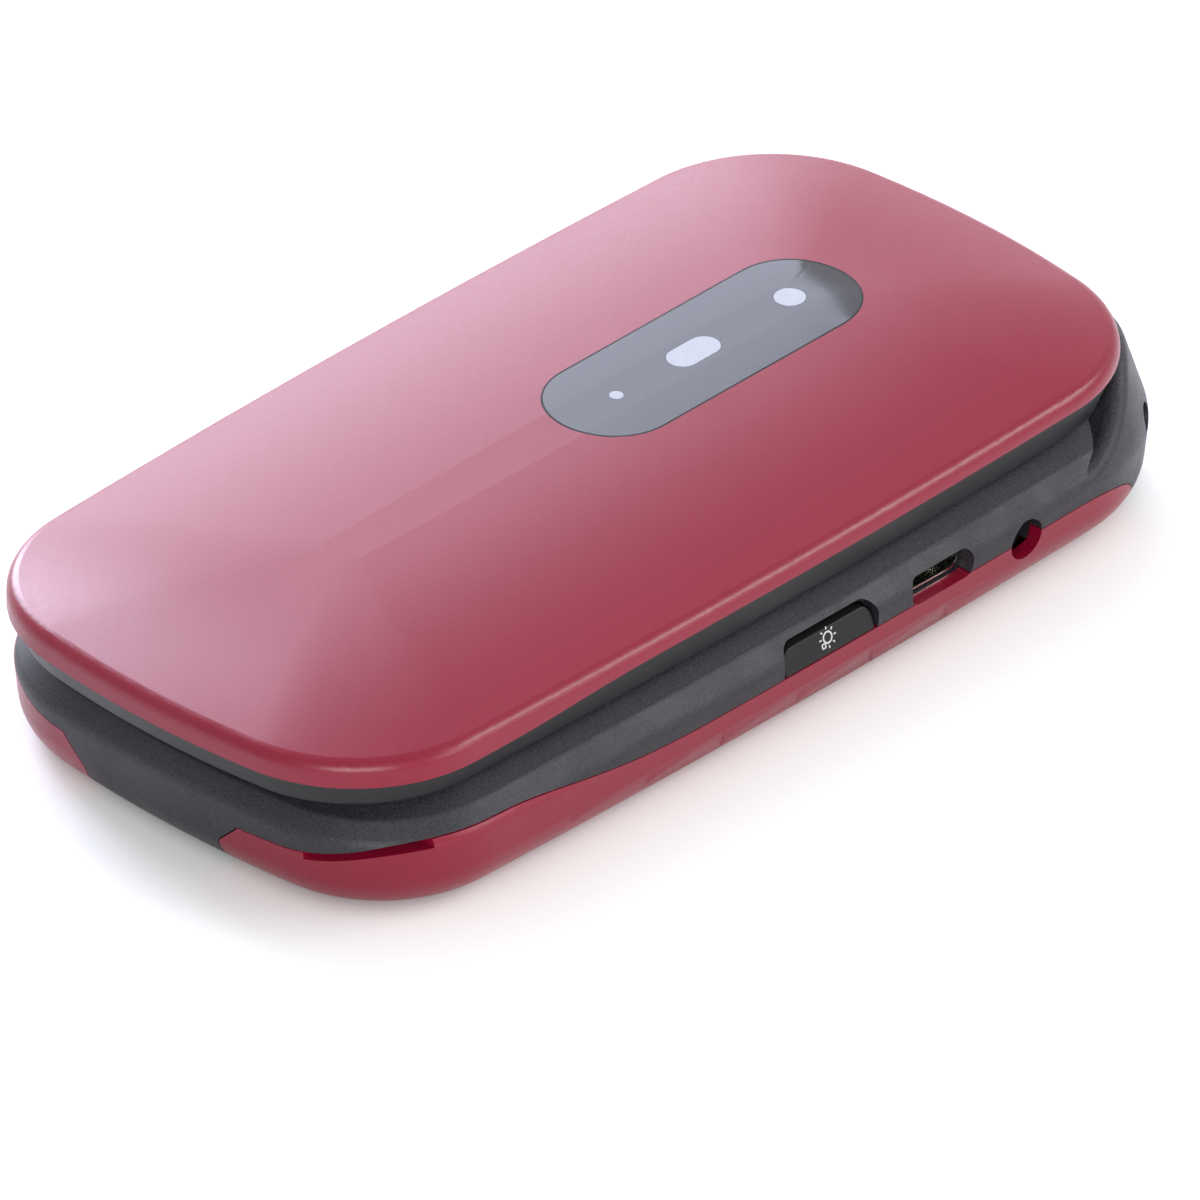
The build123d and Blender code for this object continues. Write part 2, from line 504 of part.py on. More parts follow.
with BuildPart() as flex_cable_coil:
    with BuildSketch(Plane.YZ.offset(CARTRIDGE_END + 2)):
        with Locations((HINGE_Y, HINGE_Z)):
            for radius in (COIL_RADIUS, COIL_RADIUS - 0.5):
                Circle(radius)
                Circle(radius - COIL_THICKNESS, mode=Mode.SUBTRACT)
        with Locations((HINGE_Y + COIL_RADIUS - 0.35, HINGE_Z)):
            Rectangle(0.7, COIL_THICKNESS)
    extrude(amount=COIL_LENGTH)
finish(flex_cable_coil.part, "flex_cable_coil")

with BuildPart() as camera_plate:
    add(lid_form.part)
    add(slot_prism(PLATE_LENGTH, PLATE_WIDTH, PLATE_FLOOR + FIT, ABOVE_LID, PLATE_Y), mode=Mode.INTERSECT)
    flash_hole = slot_prism(FLASH_LENGTH, FLASH_WIDTH, PLATE_FLOOR, ABOVE_LID, FLASH_Y, WINDOW_PLAY)
    add(flash_hole, mode=Mode.SUBTRACT)
    for radius, y in ((CAMERA_RADIUS, CAMERA_Y), (INDICATOR_RADIUS, INDICATOR_Y)):
        add(upright_cylinder(radius + WINDOW_PLAY, PLATE_FLOOR, ABOVE_LID, 0, y), mode=Mode.SUBTRACT)
finish(camera_plate.part, "camera_plate")

with BuildPart() as camera_window:
    add(lid_form.part)
    add(upright_cylinder(CAMERA_RADIUS, PLATE_FLOOR + 0.1, ABOVE_LID, 0, CAMERA_Y), mode=Mode.INTERSECT)
finish(camera_window.part, "camera_window")

with BuildPart() as flash_lens:
    add(lid_form.part)
    add(slot_prism(FLASH_LENGTH, FLASH_WIDTH, SEAT_LOW, ABOVE_LID, FLASH_Y), mode=Mode.INTERSECT)
finish(flash_lens.part, "flash_lens")

with BuildPart() as indicator_light:
    add(lid_form.part)
    foot = LID_BOARD_TOP + INDICATOR_LAMP
    add(upright_cylinder(INDICATOR_RADIUS, foot, ABOVE_LID, 0, INDICATOR_Y), mode=Mode.INTERSECT)
    with BuildSketch(Plane((0, INDICATOR_Y, LID_BOARD_TOP + FIT))):
        Rectangle(1.6, 1.0)
    extrude(amount=INDICATOR_LAMP)
finish(indicator_light.part, "indicator_light")

with BuildPart() as camera_module:
    with BuildSketch(Plane((0, CAMERA_Y, LID_BOARD_TOP + FIT))):
        RectangleRounded(CAMERA_BLOCK, CAMERA_BLOCK, 0.5)
    extrude(amount=1.8)
    with BuildSketch(camera_module.faces().sort_by(Axis.Z)[-1]):
        Circle(LENS_RADIUS)
        Circle(LENS_BORE_RADIUS, mode=Mode.SUBTRACT)
    extrude(amount=0.95)
finish(camera_module.part, "camera_module")

with BuildPart() as flash_led:
    with BuildSketch(Plane((0, FLASH_Y, LID_BOARD_TOP + FIT))):
        RectangleRounded(3.5, 3.5, 0.3)
    extrude(amount=0.7)
    with BuildSketch(flash_led.faces().sort_by(Axis.Z)[-1]):
        Circle(1.2)
    extrude(amount=0.3)
finish(flash_led.part, "flash_led")

with BuildPart() as lid_board:
    with BuildSketch(Plane((0, LID_BOARD_Y, LID_BOARD_LOW))):
        RectangleRounded(LID_BOARD_WIDTH, LID_BOARD_LENGTH, 2)
        with Locations((-9, 17), (9, 17)):
            Circle(BOARD_HOLE_RADIUS, mode=Mode.SUBTRACT)
    extrude(amount=LID_BOARD_TOP - LID_BOARD_LOW)
finish(lid_board.part, "lid_board")

with BuildPart() as display_module:
    with BuildSketch(Plane((0, WINDOW_Y, FRAME_INSIDE + FIT))):
        RectangleRounded(DISPLAY_WIDTH, DISPLAY_LENGTH, 1)
    extrude(amount=DISPLAY_DEPTH)
finish(display_module.part, "display_module")

with BuildPart() as display_window:
    with BuildSketch(Plane((0, WINDOW_Y, LID_FACE + WINDOW_SINK))):
        RectangleRounded(WINDOW_WIDTH - 0.3, WINDOW_LENGTH - 0.3, WINDOW_CORNER - 0.1)
    extrude(amount=WINDOW_SEAT - WINDOW_SINK - FIT)
    chamfer(level_edges(display_window, LID_FACE + WINDOW_SINK), 0.15)
finish(display_window.part, "display_window")

with BuildPart() as earpiece_grille:
    with BuildSketch(Plane((0, EARPIECE_Y, LID_FACE + GRILLE_SINK))):
        SlotOverall(EARPIECE_LENGTH - 0.2, EARPIECE_WIDTH - 0.2)
        with GridLocations(1.8, 0, 6, 1):
            SlotOverall(1.3, 0.55, rotation=90, mode=Mode.SUBTRACT)
    extrude(amount=GRILLE_THICKNESS)
finish(earpiece_grille.part, "earpiece_grille")

with BuildPart() as earpiece_speaker:
    with BuildSketch(Plane((0, EARPIECE_Y, FRAME_INSIDE + FIT))):
        RectangleRounded(12, 7, 1)
    extrude(amount=2.6)
    with BuildSketch(earpiece_speaker.faces().sort_by(Axis.Z)[-1]):
        RectangleRounded(7, 4, 1)
    extrude(amount=0.3)
finish(earpiece_speaker.part, "earpiece_speaker")

with BuildPart() as lid_screws:
    for x, y in LID_SCREWS:
        with BuildSketch(Plane((x, y, SCREW_SEAT - SCREW_HEAD))):
            Circle(SCREW_HEAD_RADIUS)
        extrude(amount=SCREW_HEAD)
        with BuildSketch(Plane((x, y, SCREW_SEAT))):
            Circle(SCREW_RADIUS - FIT)
        extrude(amount=LID_SCREW_LENGTH)
        with BuildSketch(Plane((x, y, SCREW_SEAT - SCREW_HEAD))):
            Rectangle(CROSS_LENGTH, CROSS_WIDTH)
            Rectangle(CROSS_WIDTH, CROSS_LENGTH)
        extrude(amount=CROSS_DEPTH, mode=Mode.SUBTRACT)
finish(lid_screws.part, "lid_screws")

with BuildPart() as lid_bumpers:
    for x, y in BUMPER_PLACES:
        with BuildSketch(Plane((x, y, LID_FACE))):
            Circle(BUMPER_RADIUS)
        extrude(amount=BUMPER_TIP - LID_FACE)
    fillet(level_edges(lid_bumpers, BUMPER_TIP), 0.25)
finish(lid_bumpers.part, "lid_bumpers")


# ================================================================ the base
with BuildPart() as nail_slot:
    add(below_parting(BASE_PARTING))
    add(below_parting(BASE_PARTING, NAIL_SLOT_DEPTH), mode=Mode.SUBTRACT)
    add(block((NAIL_SLOT_X, OUTSIDE), (-FAR, NAIL_SLOT_END), (0, DECK)), mode=Mode.INTERSECT)

# Room inside the frame and inside the rear cover, from an inset and a height at each level.
with BuildPart() as frame_room:
    levels = ((2.0, FRAME_INSET), (RIM_TOP, FRAME_INSET), (CEILING, 4.3))
    loft([outline(BASE, height, inset) for height, inset in levels], ruled=True)
    split(bisect_by=Plane.XZ.offset(-ROOM_END))

with BuildPart() as cover_room:
    levels = ((COVER_WALL, 4.4), (2.2, 3.0), (RIM_LOW, 1.65), (9.5, 1.6))
    loft([outline(BASE, height, inset) for height, inset in levels], ruled=True)


def free_end_block(gap):
    """The opening of the rear cover at the free end, which the frame's own piece of underside fills."""
    with BuildPart() as solid:
        with BuildSketch(Plane.XZ.offset(-BLOCK_END - gap)):
            with BuildLine():
                right_side = [
                    (BLOCK_FLARE, 9), (BLOCK_FLARE, BLOCK_SHOULDER),
                    (BLOCK_HALF, BLOCK_BEND), (BLOCK_HALF, -2),
                ]
                left_side = [(-x, z) for x, z in reversed(right_side)]
                Polyline(*left_side, *right_side, close=True)
            make_face()
            fillet(vertices().filter_by(lambda corner: 0 < corner.Y < BLOCK_SHOULDER + 0.1), 1.2)
            if gap:
                offset(amount=gap)
        extrude(amount=20)
    return Pos(BLOCK_X, 0, 0) * solid.part


with BuildPart() as free_end_piece:
    add(base_form.part)
    add(free_end_block(0), mode=Mode.INTERSECT)
    add(block((-FAR, FAR), (-FAR, FAR), (BLOCK_TOP, FAR)), mode=Mode.SUBTRACT)

with BuildPart() as frame_rim:
    extrude(outline(BASE, RIM_LOW, COVER_RIM_INSET), amount=RIM_TOP - RIM_LOW)
    split(bisect_by=Plane.XZ.offset(-RIM_END))

with BuildPart() as base_frame:
    add(base_body.part)
    add(ears.part)
    add(below_parting(BASE_PARTING, -0.04), mode=Mode.SUBTRACT)
    # a rim that stands inside the rear cover
    add(frame_rim.part)
    add(frame_room.part, mode=Mode.SUBTRACT)
    # the free end's underside, and the bulkhead ahead of the hinge
    add(free_end_piece.part)
    add(block((-BULKHEAD_HALF, BULKHEAD_HALF), (ROOM_END, HEEL_Y - 1.2), (COVER_WALL + 0.15, CEILING + 0.2)))
    # notch for the lid's knuckle
    add(hinge_cylinder(BARREL_RADIUS + BARREL_GAP, -NOTCH_HALF, NOTCH_HALF), mode=Mode.SUBTRACT)
    add(block((-NOTCH_HALF, NOTCH_HALF), (HINGE_Y - 2.2, FAR), (-5, FAR)), mode=Mode.SUBTRACT)
    # sockets of the hinge shaft and pin in the ears
    add(hinge_cylinder(SHAFT_RADIUS + FIT, -SHAFT_END - 0.1, -NOTCH_HALF + 1), mode=Mode.SUBTRACT)
    add(hinge_cylinder(SHAFT_RADIUS + FIT, NOTCH_HALF - 1, SHAFT_END + 0.1), mode=Mode.SUBTRACT)
    # strap eyelet: a round passage behind a post at the corner
    with BuildSketch(Plane.XZ.offset(-EYELET_Y)):
        with Locations((EYELET_X + EYELET_BEND, EYELET_Z)):
            Circle(EYELET_RADIUS)
    revolve(axis=Axis((EYELET_X, EYELET_Y, 0), (0, 0, 1)), mode=Mode.SUBTRACT)
    # keypad: a shallow recess and an opening for each key
    with BuildSketch(Plane((0, KEYPAD_Y, KEYPAD_FLOOR))):
        RectangleRounded(KEYPAD_WIDTH, KEYPAD_LENGTH, 6)
    extrude(amount=1, mode=Mode.SUBTRACT)
    with BuildSketch(Plane.XY.offset(CEILING - 0.5)):
        for places, width, height in (
            (KEY_PLACES, KEY_WIDTH, KEY_HEIGHT),
            (MENU_PLACES[:2], MENU_KEY_WIDTH, SOFT_KEY_HEIGHT),
            (MENU_PLACES[2:], MENU_KEY_WIDTH, CALL_KEY_HEIGHT),
        ):
            with Locations(*places):
                RectangleRounded(width + 2 * KEY_GAP, height + 2 * KEY_GAP, KEY_CORNER + KEY_GAP)
        with Locations((0, RING_Y)):
            Circle(RING_RADIUS + KEY_GAP)
        with Locations((0, MICROPHONE_Y)):
            Circle(0.5)
    extrude(amount=5, mode=Mode.SUBTRACT)
    # light key: a dish and an opening, both open to the rear cover's edge
    add(light_key_bar(LIGHT_DISH_X, LIGHT_DISH_TOP, LIGHT_KEY_GAP), mode=Mode.SUBTRACT)
    add(light_key_bar(INSIDE, LIGHT_KEY_TOP + 0.2, LIGHT_KEY_GAP), mode=Mode.SUBTRACT)
    # volume rocker on the other side
    add(
        across(
            -OUTSIDE, -VOLUME_DISH_X, VOLUME_KEY_Y, VOLUME_DISH_Z,
            VOLUME_KEY_LENGTH + 1.6, VOLUME_DISH_HEIGHT, 1.6,
        ),
        mode=Mode.SUBTRACT,
    )
    add(
        across(
            -OUTSIDE, -INSIDE, VOLUME_KEY_Y, SIDE_KEY_Z,
            VOLUME_KEY_LENGTH + 0.5, VOLUME_KEY_HEIGHT + 0.3, 1.3,
        ),
        mode=Mode.SUBTRACT,
    )
    # room for the flanges of both, behind the wall
    for x, y, length in (
        ((SWITCH_X + 0.6, FLANGE_WALL), LIGHT_KEY_Y, LIGHT_KEY_LENGTH),
        ((-FLANGE_WALL, -SWITCH_X - 0.6), VOLUME_KEY_Y, VOLUME_KEY_LENGTH),
    ):
        reach = length / 2 + 1.4
        add(block(x, (y - reach, y + reach), (RIM_LOW - 0.2, CEILING - 0.05)), mode=Mode.SUBTRACT)
    # openings of the two sockets
    add(across(INSIDE, OUTSIDE, USB_Y, USB_Z, *USB_OPENING), mode=Mode.SUBTRACT)
    add(along_x(JACK_OPENING, INSIDE, OUTSIDE, JACK_Y, JACK_Z), mode=Mode.SUBTRACT)
    # screw bosses and the charging contacts' pockets
    for x, y in BASE_SCREWS:
        add(upright_cylinder(BOSS_RADIUS, CHASSIS_TOP + 0.05, CEILING + 0.1, x, y))
        add(upright_cylinder(SCREW_RADIUS, CHASSIS_TOP, CEILING - 0.3, x, y), mode=Mode.SUBTRACT)
    with BuildSketch(Plane((BLOCK_X, CONTACT_Y, 0))):
        with GridLocations(2 * CONTACT_X, 0, 2, 1):
            Rectangle(CONTACT_WIDTH + 0.1, CONTACT_LENGTH + 0.1)
    extrude(amount=CONTACT_DEPTH, mode=Mode.SUBTRACT)
finish(base_frame.part, "base_frame")

with BuildPart() as rear_cover:
    add(base_form.part)
    add(below_parting(BASE_PARTING, 0.06), mode=Mode.INTERSECT)
    add(cover_room.part, mode=Mode.SUBTRACT)
    add(free_end_block(0.12), mode=Mode.SUBTRACT)
    # openings of the sockets
    add(across(INSIDE, OUTSIDE, USB_Y, USB_Z, *USB_OPENING), mode=Mode.SUBTRACT)
    add(along_x(JACK_OPENING, INSIDE, OUTSIDE, JACK_Y, JACK_Z), mode=Mode.SUBTRACT)
    # priority key: a shallow dish and the opening in it
    with BuildSketch(Plane((0, PRIORITY_Y, 0))):
        SlotOverall(PRIORITY_LENGTH + 2 * PRIORITY_DISH, PRIORITY_WIDTH + 2 * PRIORITY_DISH)
    extrude(amount=PRIORITY_DISH_DEPTH, taper=40, mode=Mode.SUBTRACT)
    with BuildSketch(Plane((0, PRIORITY_Y, 0))):
        SlotOverall(PRIORITY_LENGTH + 0.5, PRIORITY_WIDTH + 0.5)
    extrude(amount=COVER_WALL, mode=Mode.SUBTRACT)
    # loudspeaker slots
    with BuildSketch(Plane((SPEAKER_X, SPEAKER_Y, 0))):
        with GridLocations(0, 2.2, 1, 3):
            SlotOverall(8, 1.0)
    extrude(amount=COVER_WALL, mode=Mode.SUBTRACT)
    # slot for a fingernail in the upper edge, round the corner by the free end
    add(nail_slot.part, mode=Mode.SUBTRACT)
finish(rear_cover.part, "rear_cover")

with BuildPart() as mid_chassis:
    extrude(outline(BASE, CHASSIS_LOW, 4.7), amount=CHASSIS_TOP - CHASSIS_LOW)
    split(bisect_by=Plane.XZ.offset(-ROOM_END + 0.2))
    # walls of the battery bay, open at the contacts
    with BuildSketch(Plane((0, BATTERY_Y, CHASSIS_LOW))):
        Rectangle(BATTERY_WIDTH + 2.4, BATTERY_LENGTH + 2.4)
        Rectangle(BATTERY_WIDTH + 0.6, BATTERY_LENGTH + 0.6, mode=Mode.SUBTRACT)
        with Locations((0, BATTERY_LENGTH / 2 + 0.6)):
            Rectangle(14, 3, mode=Mode.SUBTRACT)
    extrude(amount=COVER_WALL + 0.15 - CHASSIS_LOW)
    # windows for the card holder, the two sockets and the screws
    with BuildSketch(Plane.XY.offset(CHASSIS_LOW)):
        with Locations((CARD_X, CARD_Y)):
            Rectangle(CARD_LENGTH + 0.4, CARD_WIDTH + 0.4)
        with Locations((USB_BACK + 3, USB_Y)):
            Rectangle(USB_CUT_DEPTH, USB_WIDTH + 0.8)
        with Locations((JACK_MIDDLE, JACK_Y)):
            Rectangle(JACK_CUT_LENGTH, JACK_WIDTH + 0.4)
        with Locations(*SWITCH_PLACES):
            Rectangle(3.8, 3.8)
        with Locations(*BASE_SCREWS):
            Circle(SCREW_RADIUS + 0.1)
    extrude(amount=1, mode=Mode.SUBTRACT)
finish(mid_chassis.part, "mid_chassis")

with BuildPart() as main_board:
    extrude(outline(BASE, BOARD_LOW, 4.95), amount=BOARD_TOP - BOARD_LOW)
    split(bisect_by=Plane.XZ.offset(-ROOM_END + 0.5))
    with BuildSketch(Plane.XY.offset(BOARD_LOW)):
        with Locations(*BASE_SCREWS):
            Circle(2.5)
        with Locations((USB_BACK + 3, USB_Y)):
            Rectangle(USB_CUT_DEPTH, USB_WIDTH + 0.6)
        with Locations((JACK_MIDDLE, JACK_Y)):
            Rectangle(JACK_CUT_LENGTH, JACK_WIDTH + 0.4)
    extrude(amount=1, mode=Mode.SUBTRACT)
finish(main_board.part, "main_board")

# Snap-dome sheet, with its domes drawn as they are when pressed flat.
with BuildPart() as dome_sheet:
    with BuildSketch(Plane((0, KEYPAD_Y, BOARD_TOP + FIT))):
        RectangleRounded(38, 75, 3)
    extrude(amount=SHEET_TOP - DOME_HEIGHT - BOARD_TOP - FIT)
    with BuildSketch(Plane.XY.offset(SHEET_TOP - DOME_HEIGHT)):
        with Locations(*KEY_PLACES, *MENU_PLACES, (0, RING_Y)):
            Circle(DOME_RADIUS)
    extrude(amount=DOME_HEIGHT)
finish(dome_sheet.part, "dome_sheet")

with BuildPart() as battery:
    with BuildSketch(Plane((0, BATTERY_Y, BATTERY_LOW))):
        RectangleRounded(BATTERY_WIDTH, BATTERY_LENGTH, 1.5)
    extrude(amount=BATTERY_TOP - BATTERY_LOW)
    chamfer(level_edges(battery, BATTERY_LOW), 0.5)
finish(battery.part, "battery")

with BuildPart() as battery_contacts:
    with BuildSketch(Plane((0, BATTERY_Y + BATTERY_LENGTH / 2 + 2.3, CHASSIS_LOW - FIT))):
        Rectangle(12, 3.2)
    extrude(amount=-3.4)
    with BuildSketch(Plane((0, BATTERY_Y + BATTERY_LENGTH / 2 + 0.4, CHASSIS_LOW - 1.2))):
        with GridLocations(4, 0, 3, 1):
            Rectangle(1.0, 0.7)
    extrude(amount=-1.2)
finish(battery_contacts.part, "battery_contacts")

with BuildPart() as card_holder:
    with BuildSketch(Plane((CARD_X, CARD_Y, BATTERY_TOP + 0.05))):
        Rectangle(CARD_LENGTH, CARD_WIDTH)
    extrude(amount=BOARD_LOW - FIT - BATTERY_TOP - 0.05)
    with BuildSketch(Plane((CARD_X - 2, CARD_Y, BATTERY_TOP + 0.3))):
        Rectangle(CARD_LENGTH, CARD_WIDTH - 2)
    extrude(amount=0.8, mode=Mode.SUBTRACT)
finish(card_holder.part, "card_holder")

with BuildPart() as usb_connector:
    with BuildSketch(Plane.YZ.offset(USB_BACK)):
        with Locations((USB_Y, USB_Z)):
            Rectangle(USB_WIDTH, USB_HEIGHT)
        chamfer(vertices().group_by(Axis.Y)[0], 0.7)
        fillet(vertices().group_by(Axis.Y)[-1], 0.5)
    extrude(amount=USB_MOUTH - USB_BACK)
    with BuildSketch(Plane.YZ.offset(USB_BACK + 0.6)):
        with Locations((USB_Y, USB_Z)):
            Rectangle(USB_WIDTH - 0.5, USB_HEIGHT - 0.5)
        chamfer(vertices().group_by(Axis.Y)[0], 0.6)
    extrude(amount=USB_MOUTH - USB_BACK, mode=Mode.SUBTRACT)
    with BuildSketch(Plane.YZ.offset(USB_BACK + 0.5)):
        with Locations((USB_Y, USB_Z + 0.35)):
            Rectangle(3.8, 0.6)
    extrude(amount=3.6)
finish(usb_connector.part, "usb_connector")

with BuildPart() as audio_jack:
    with BuildSketch(Plane.YZ.offset(JACK_MOUTH - JACK_DEPTH - SOCKET_WALL)):
        with Locations((JACK_Y, (JACK_LOW + JACK_TOP) / 2)):
            RectangleRounded(JACK_WIDTH, JACK_TOP - JACK_LOW, 0.6)
    extrude(amount=JACK_DEPTH + SOCKET_WALL - COLLAR_REACH)
    with BuildSketch(Plane.YZ.offset(JACK_MOUTH)):
        with Locations((JACK_Y, JACK_Z)):
            Circle(JACK_COLLAR_RADIUS)
    extrude(amount=-2)
    with BuildSketch(Plane.YZ.offset(JACK_MOUTH)):
        with Locations((JACK_Y, JACK_Z)):
            Circle(JACK_RADIUS)
    extrude(amount=-JACK_DEPTH, mode=Mode.SUBTRACT)
finish(audio_jack.part, "audio_jack")

with BuildPart() as charging_contacts:
    with BuildSketch(Plane((BLOCK_X, CONTACT_Y, CONTACT_SINK))):
        with GridLocations(2 * CONTACT_X, 0, 2, 1):
            RectangleRounded(CONTACT_WIDTH, CONTACT_LENGTH, 0.4)
    extrude(amount=CONTACT_DEPTH - CONTACT_SINK - FIT)
finish(charging_contacts.part, "charging_contacts")

with BuildPart() as loudspeaker:
    with BuildSketch(Plane((SPEAKER_X, SPEAKER_Y, COVER_WALL + 0.15))):
        RectangleRounded(14, 10.6, 1.5)
    extrude(amount=3.4)
    with BuildSketch(loudspeaker.faces().sort_by(Axis.Z)[-1]):
        RectangleRounded(8, 6, 1)
    extrude(amount=0.8)
finish(loudspeaker.part, "loudspeaker")

with BuildPart() as vibration_motor:
    with BuildSketch(Plane.YZ.offset(MOTOR_X)):
        with Locations((MOTOR_Y, MOTOR_Z)):
            Circle(MOTOR_RADIUS)
    extrude(amount=MOTOR_LENGTH)
    with BuildSketch(Plane.YZ.offset(MOTOR_X + MOTOR_LENGTH / 2)):
        with Locations((MOTOR_Y, MOTOR_Z)):
            Circle(MOTOR_SHAFT_RADIUS + RUNNING)
    extrude(amount=MOTOR_LENGTH, mode=Mode.SUBTRACT)
finish(vibration_motor.part, "vibration_motor")

with BuildPart() as vibration_weight:
    with BuildSketch(Plane.YZ.offset(MOTOR_X + MOTOR_LENGTH + 0.5)):
        with Locations((MOTOR_Y, MOTOR_Z)):
            Circle(WEIGHT_RADIUS)
        with Locations((MOTOR_Y, MOTOR_Z + 1.6)):
            Rectangle(5, 2, mode=Mode.SUBTRACT)
    extrude(amount=3)
    with BuildSketch(Plane.YZ.offset(MOTOR_X + 5)):
        with Locations((MOTOR_Y, MOTOR_Z)):
            Circle(MOTOR_SHAFT_RADIUS)
    extrude(amount=6.5)
finish(vibration_weight.part, "vibration_weight")

with BuildPart() as microphone:
    with BuildSketch(Plane((0, MICROPHONE_Y, BOARD_TOP + FIT))):
        Circle(2.0)
    extrude(amount=1.4)
finish(microphone.part, "microphone")

with BuildPart() as antenna:
    with BuildSketch(Plane((0, ANTENNA_Y, ANTENNA_LOW))):
        RectangleRounded(33, 3.3, 0.8)
    extrude(amount=3.6)
    with BuildSketch(Plane((0, ANTENNA_Y, ANTENNA_LOW))):
        with GridLocations(9, 0, 3, 1):
            Rectangle(5, 1.6)
    extrude(amount=2.4, mode=Mode.SUBTRACT)
finish(antenna.part, "antenna")

with BuildPart() as side_switches:
    with BuildSketch(Plane.XY.offset(CHASSIS_LOW + 0.05)):
        with Locations(*SWITCH_PLACES):
            Rectangle(2.0, 3.4)
    extrude(amount=BOARD_LOW - FIT - CHASSIS_LOW - 0.05)
finish(side_switches.part, "side_switches")

with BuildPart() as priority_switch:
    with BuildSketch(Plane((0, PRIORITY_Y, CHASSIS_LOW - FIT))):
        Rectangle(4, 4)
    extrude(amount=-PRIORITY_SWITCH)
finish(priority_switch.part, "priority_switch")

with BuildPart() as hinge_shaft:
    with BuildSketch(Plane.YZ.offset(-SHAFT_END)):
        with Locations((HINGE_Y, HINGE_Z)):
            Circle(SHAFT_RADIUS)
    extrude(amount=SHAFT_TIP + SHAFT_END)
    chamfer(hinge_shaft.edges().filter_by(GeomType.CIRCLE), 0.25)
finish(hinge_shaft.part, "hinge_shaft")

with BuildPart() as hinge_pin:
    with BuildSketch(Plane.YZ.offset(PIN_END)):
        with Locations((HINGE_Y, HINGE_Z)):
            Circle(SHAFT_RADIUS)
            Circle(PIN_BORE_RADIUS, mode=Mode.SUBTRACT)
    extrude(amount=SHAFT_END - PIN_END)
finish(hinge_pin.part, "hinge_pin")

with BuildPart() as base_screws:
    for x, y in BASE_SCREWS:
        with BuildSketch(Plane((x, y, CHASSIS_LOW - FIT - SCREW_HEAD))):
            Circle(SCREW_HEAD_RADIUS - 0.15)
        extrude(amount=SCREW_HEAD)
        with BuildSketch(Plane((x, y, CHASSIS_LOW - FIT))):
            Circle(SCREW_RADIUS - FIT)
        extrude(amount=BASE_SCREW_LENGTH)
finish(base_screws.part, "base_screws")


# ================================================================ the keys
def keypad_key(label, place, width, height):
    """A key of the keypad: cap, flange under the deck, and the stem over its dome."""
    with BuildPart() as key:
        with BuildSketch(Plane((*place, FLANGE_LOW))):
            RectangleRounded(width + 2 * FLANGE, height + 2 * FLANGE, KEY_CORNER)
        extrude(amount=FLANGE_TOP - FLANGE_LOW)
        with BuildSketch(Plane((*place, FLANGE_TOP))):
            RectangleRounded(width, height, KEY_CORNER)
        extrude(amount=KEY_TOP - FLANGE_TOP)
        fillet(level_edges(key, KEY_TOP), KEY_EDGE_RADIUS)
        with BuildSketch(Plane((*place, FLANGE_LOW))):
            Circle(STEM_RADIUS)
        extrude(amount=STEM_LOW - FLANGE_LOW)
    finish(key.part, label)


NUMBER_KEYS = ("1", "2", "3", "4", "5", "6", "7", "8", "9", "star", "0", "hash")
for name, place in zip(NUMBER_KEYS, KEY_PLACES):
    keypad_key(f"key_{name}", place, KEY_WIDTH, KEY_HEIGHT)
keypad_key("key_soft_left", MENU_PLACES[0], MENU_KEY_WIDTH, SOFT_KEY_HEIGHT)
keypad_key("key_soft_right", MENU_PLACES[1], MENU_KEY_WIDTH, SOFT_KEY_HEIGHT)
keypad_key("key_call", MENU_PLACES[2], MENU_KEY_WIDTH, CALL_KEY_HEIGHT)
keypad_key("key_end", MENU_PLACES[3], MENU_KEY_WIDTH, CALL_KEY_HEIGHT)

with BuildPart() as navigation_ring:
    with BuildSketch(Plane((0, RING_Y, RING_LOW))):
        Circle(RING_RADIUS + FLANGE)
        Circle(RING_HOLE_RADIUS, mode=Mode.SUBTRACT)
    extrude(amount=RING_FLANGE_TOP - RING_LOW)
    with BuildSketch(Plane((0, RING_Y, RING_FLANGE_TOP))):
        Circle(RING_RADIUS)
        Circle(RING_HOLE_RADIUS, mode=Mode.SUBTRACT)
    extrude(amount=KEY_TOP - RING_FLANGE_TOP)
    fillet(level_edges(navigation_ring, KEY_TOP), KEY_EDGE_RADIUS)
finish(navigation_ring.part, "navigation_ring")

# The OK key stands on its dome, and the ring round it keeps it upright.
with BuildPart() as key_ok:
    with BuildSketch(Plane((0, RING_Y, STEM_LOW))):
        Circle(OK_RADIUS)
    extrude(amount=KEY_TOP - STEM_LOW)
    fillet(level_edges(key_ok, KEY_TOP), KEY_EDGE_RADIUS)
finish(key_ok.part, "key_ok")

with BuildPart() as light_key:
    add(light_key_bar(SIDE_KEY_FACE, LIGHT_KEY_TOP, 0))
    with BuildSketch(Plane.XZ):
        with BuildLine():
            Polyline(
                (INSIDE, LIGHT_KEY_LOW), (LIGHT_KEY_FOOT_X, LIGHT_KEY_LOW),
                (LIGHT_KEY_HEAD_X, LIGHT_KEY_TOP), (INSIDE, LIGHT_KEY_TOP), close=True,
            )
        make_face()
    extrude(amount=FAR, both=True, mode=Mode.INTERSECT)
    face = light_key.faces().sort_by(Axis.X)[-1]
    fillet(face.edges().filter_by(lambda edge: edge.center().Z > LIGHT_KEY_LOW + 0.01), 0.2)
    add(
        across(
            SIDE_KEY_FACE - SIDE_FLANGE, SIDE_KEY_FACE, LIGHT_KEY_Y, SIDE_KEY_Z,
            LIGHT_KEY_LENGTH + 2 * SIDE_FLANGE_REACH, SIDE_FLANGE_HEIGHT, 0.6,
        ),
    )
    add(along_x(SIDE_STEM_RADIUS, SWITCH_X + 1.5, SIDE_KEY_FACE - 0.8, LIGHT_KEY_Y, SWITCH_Z))
finish(light_key.part, "light_key")

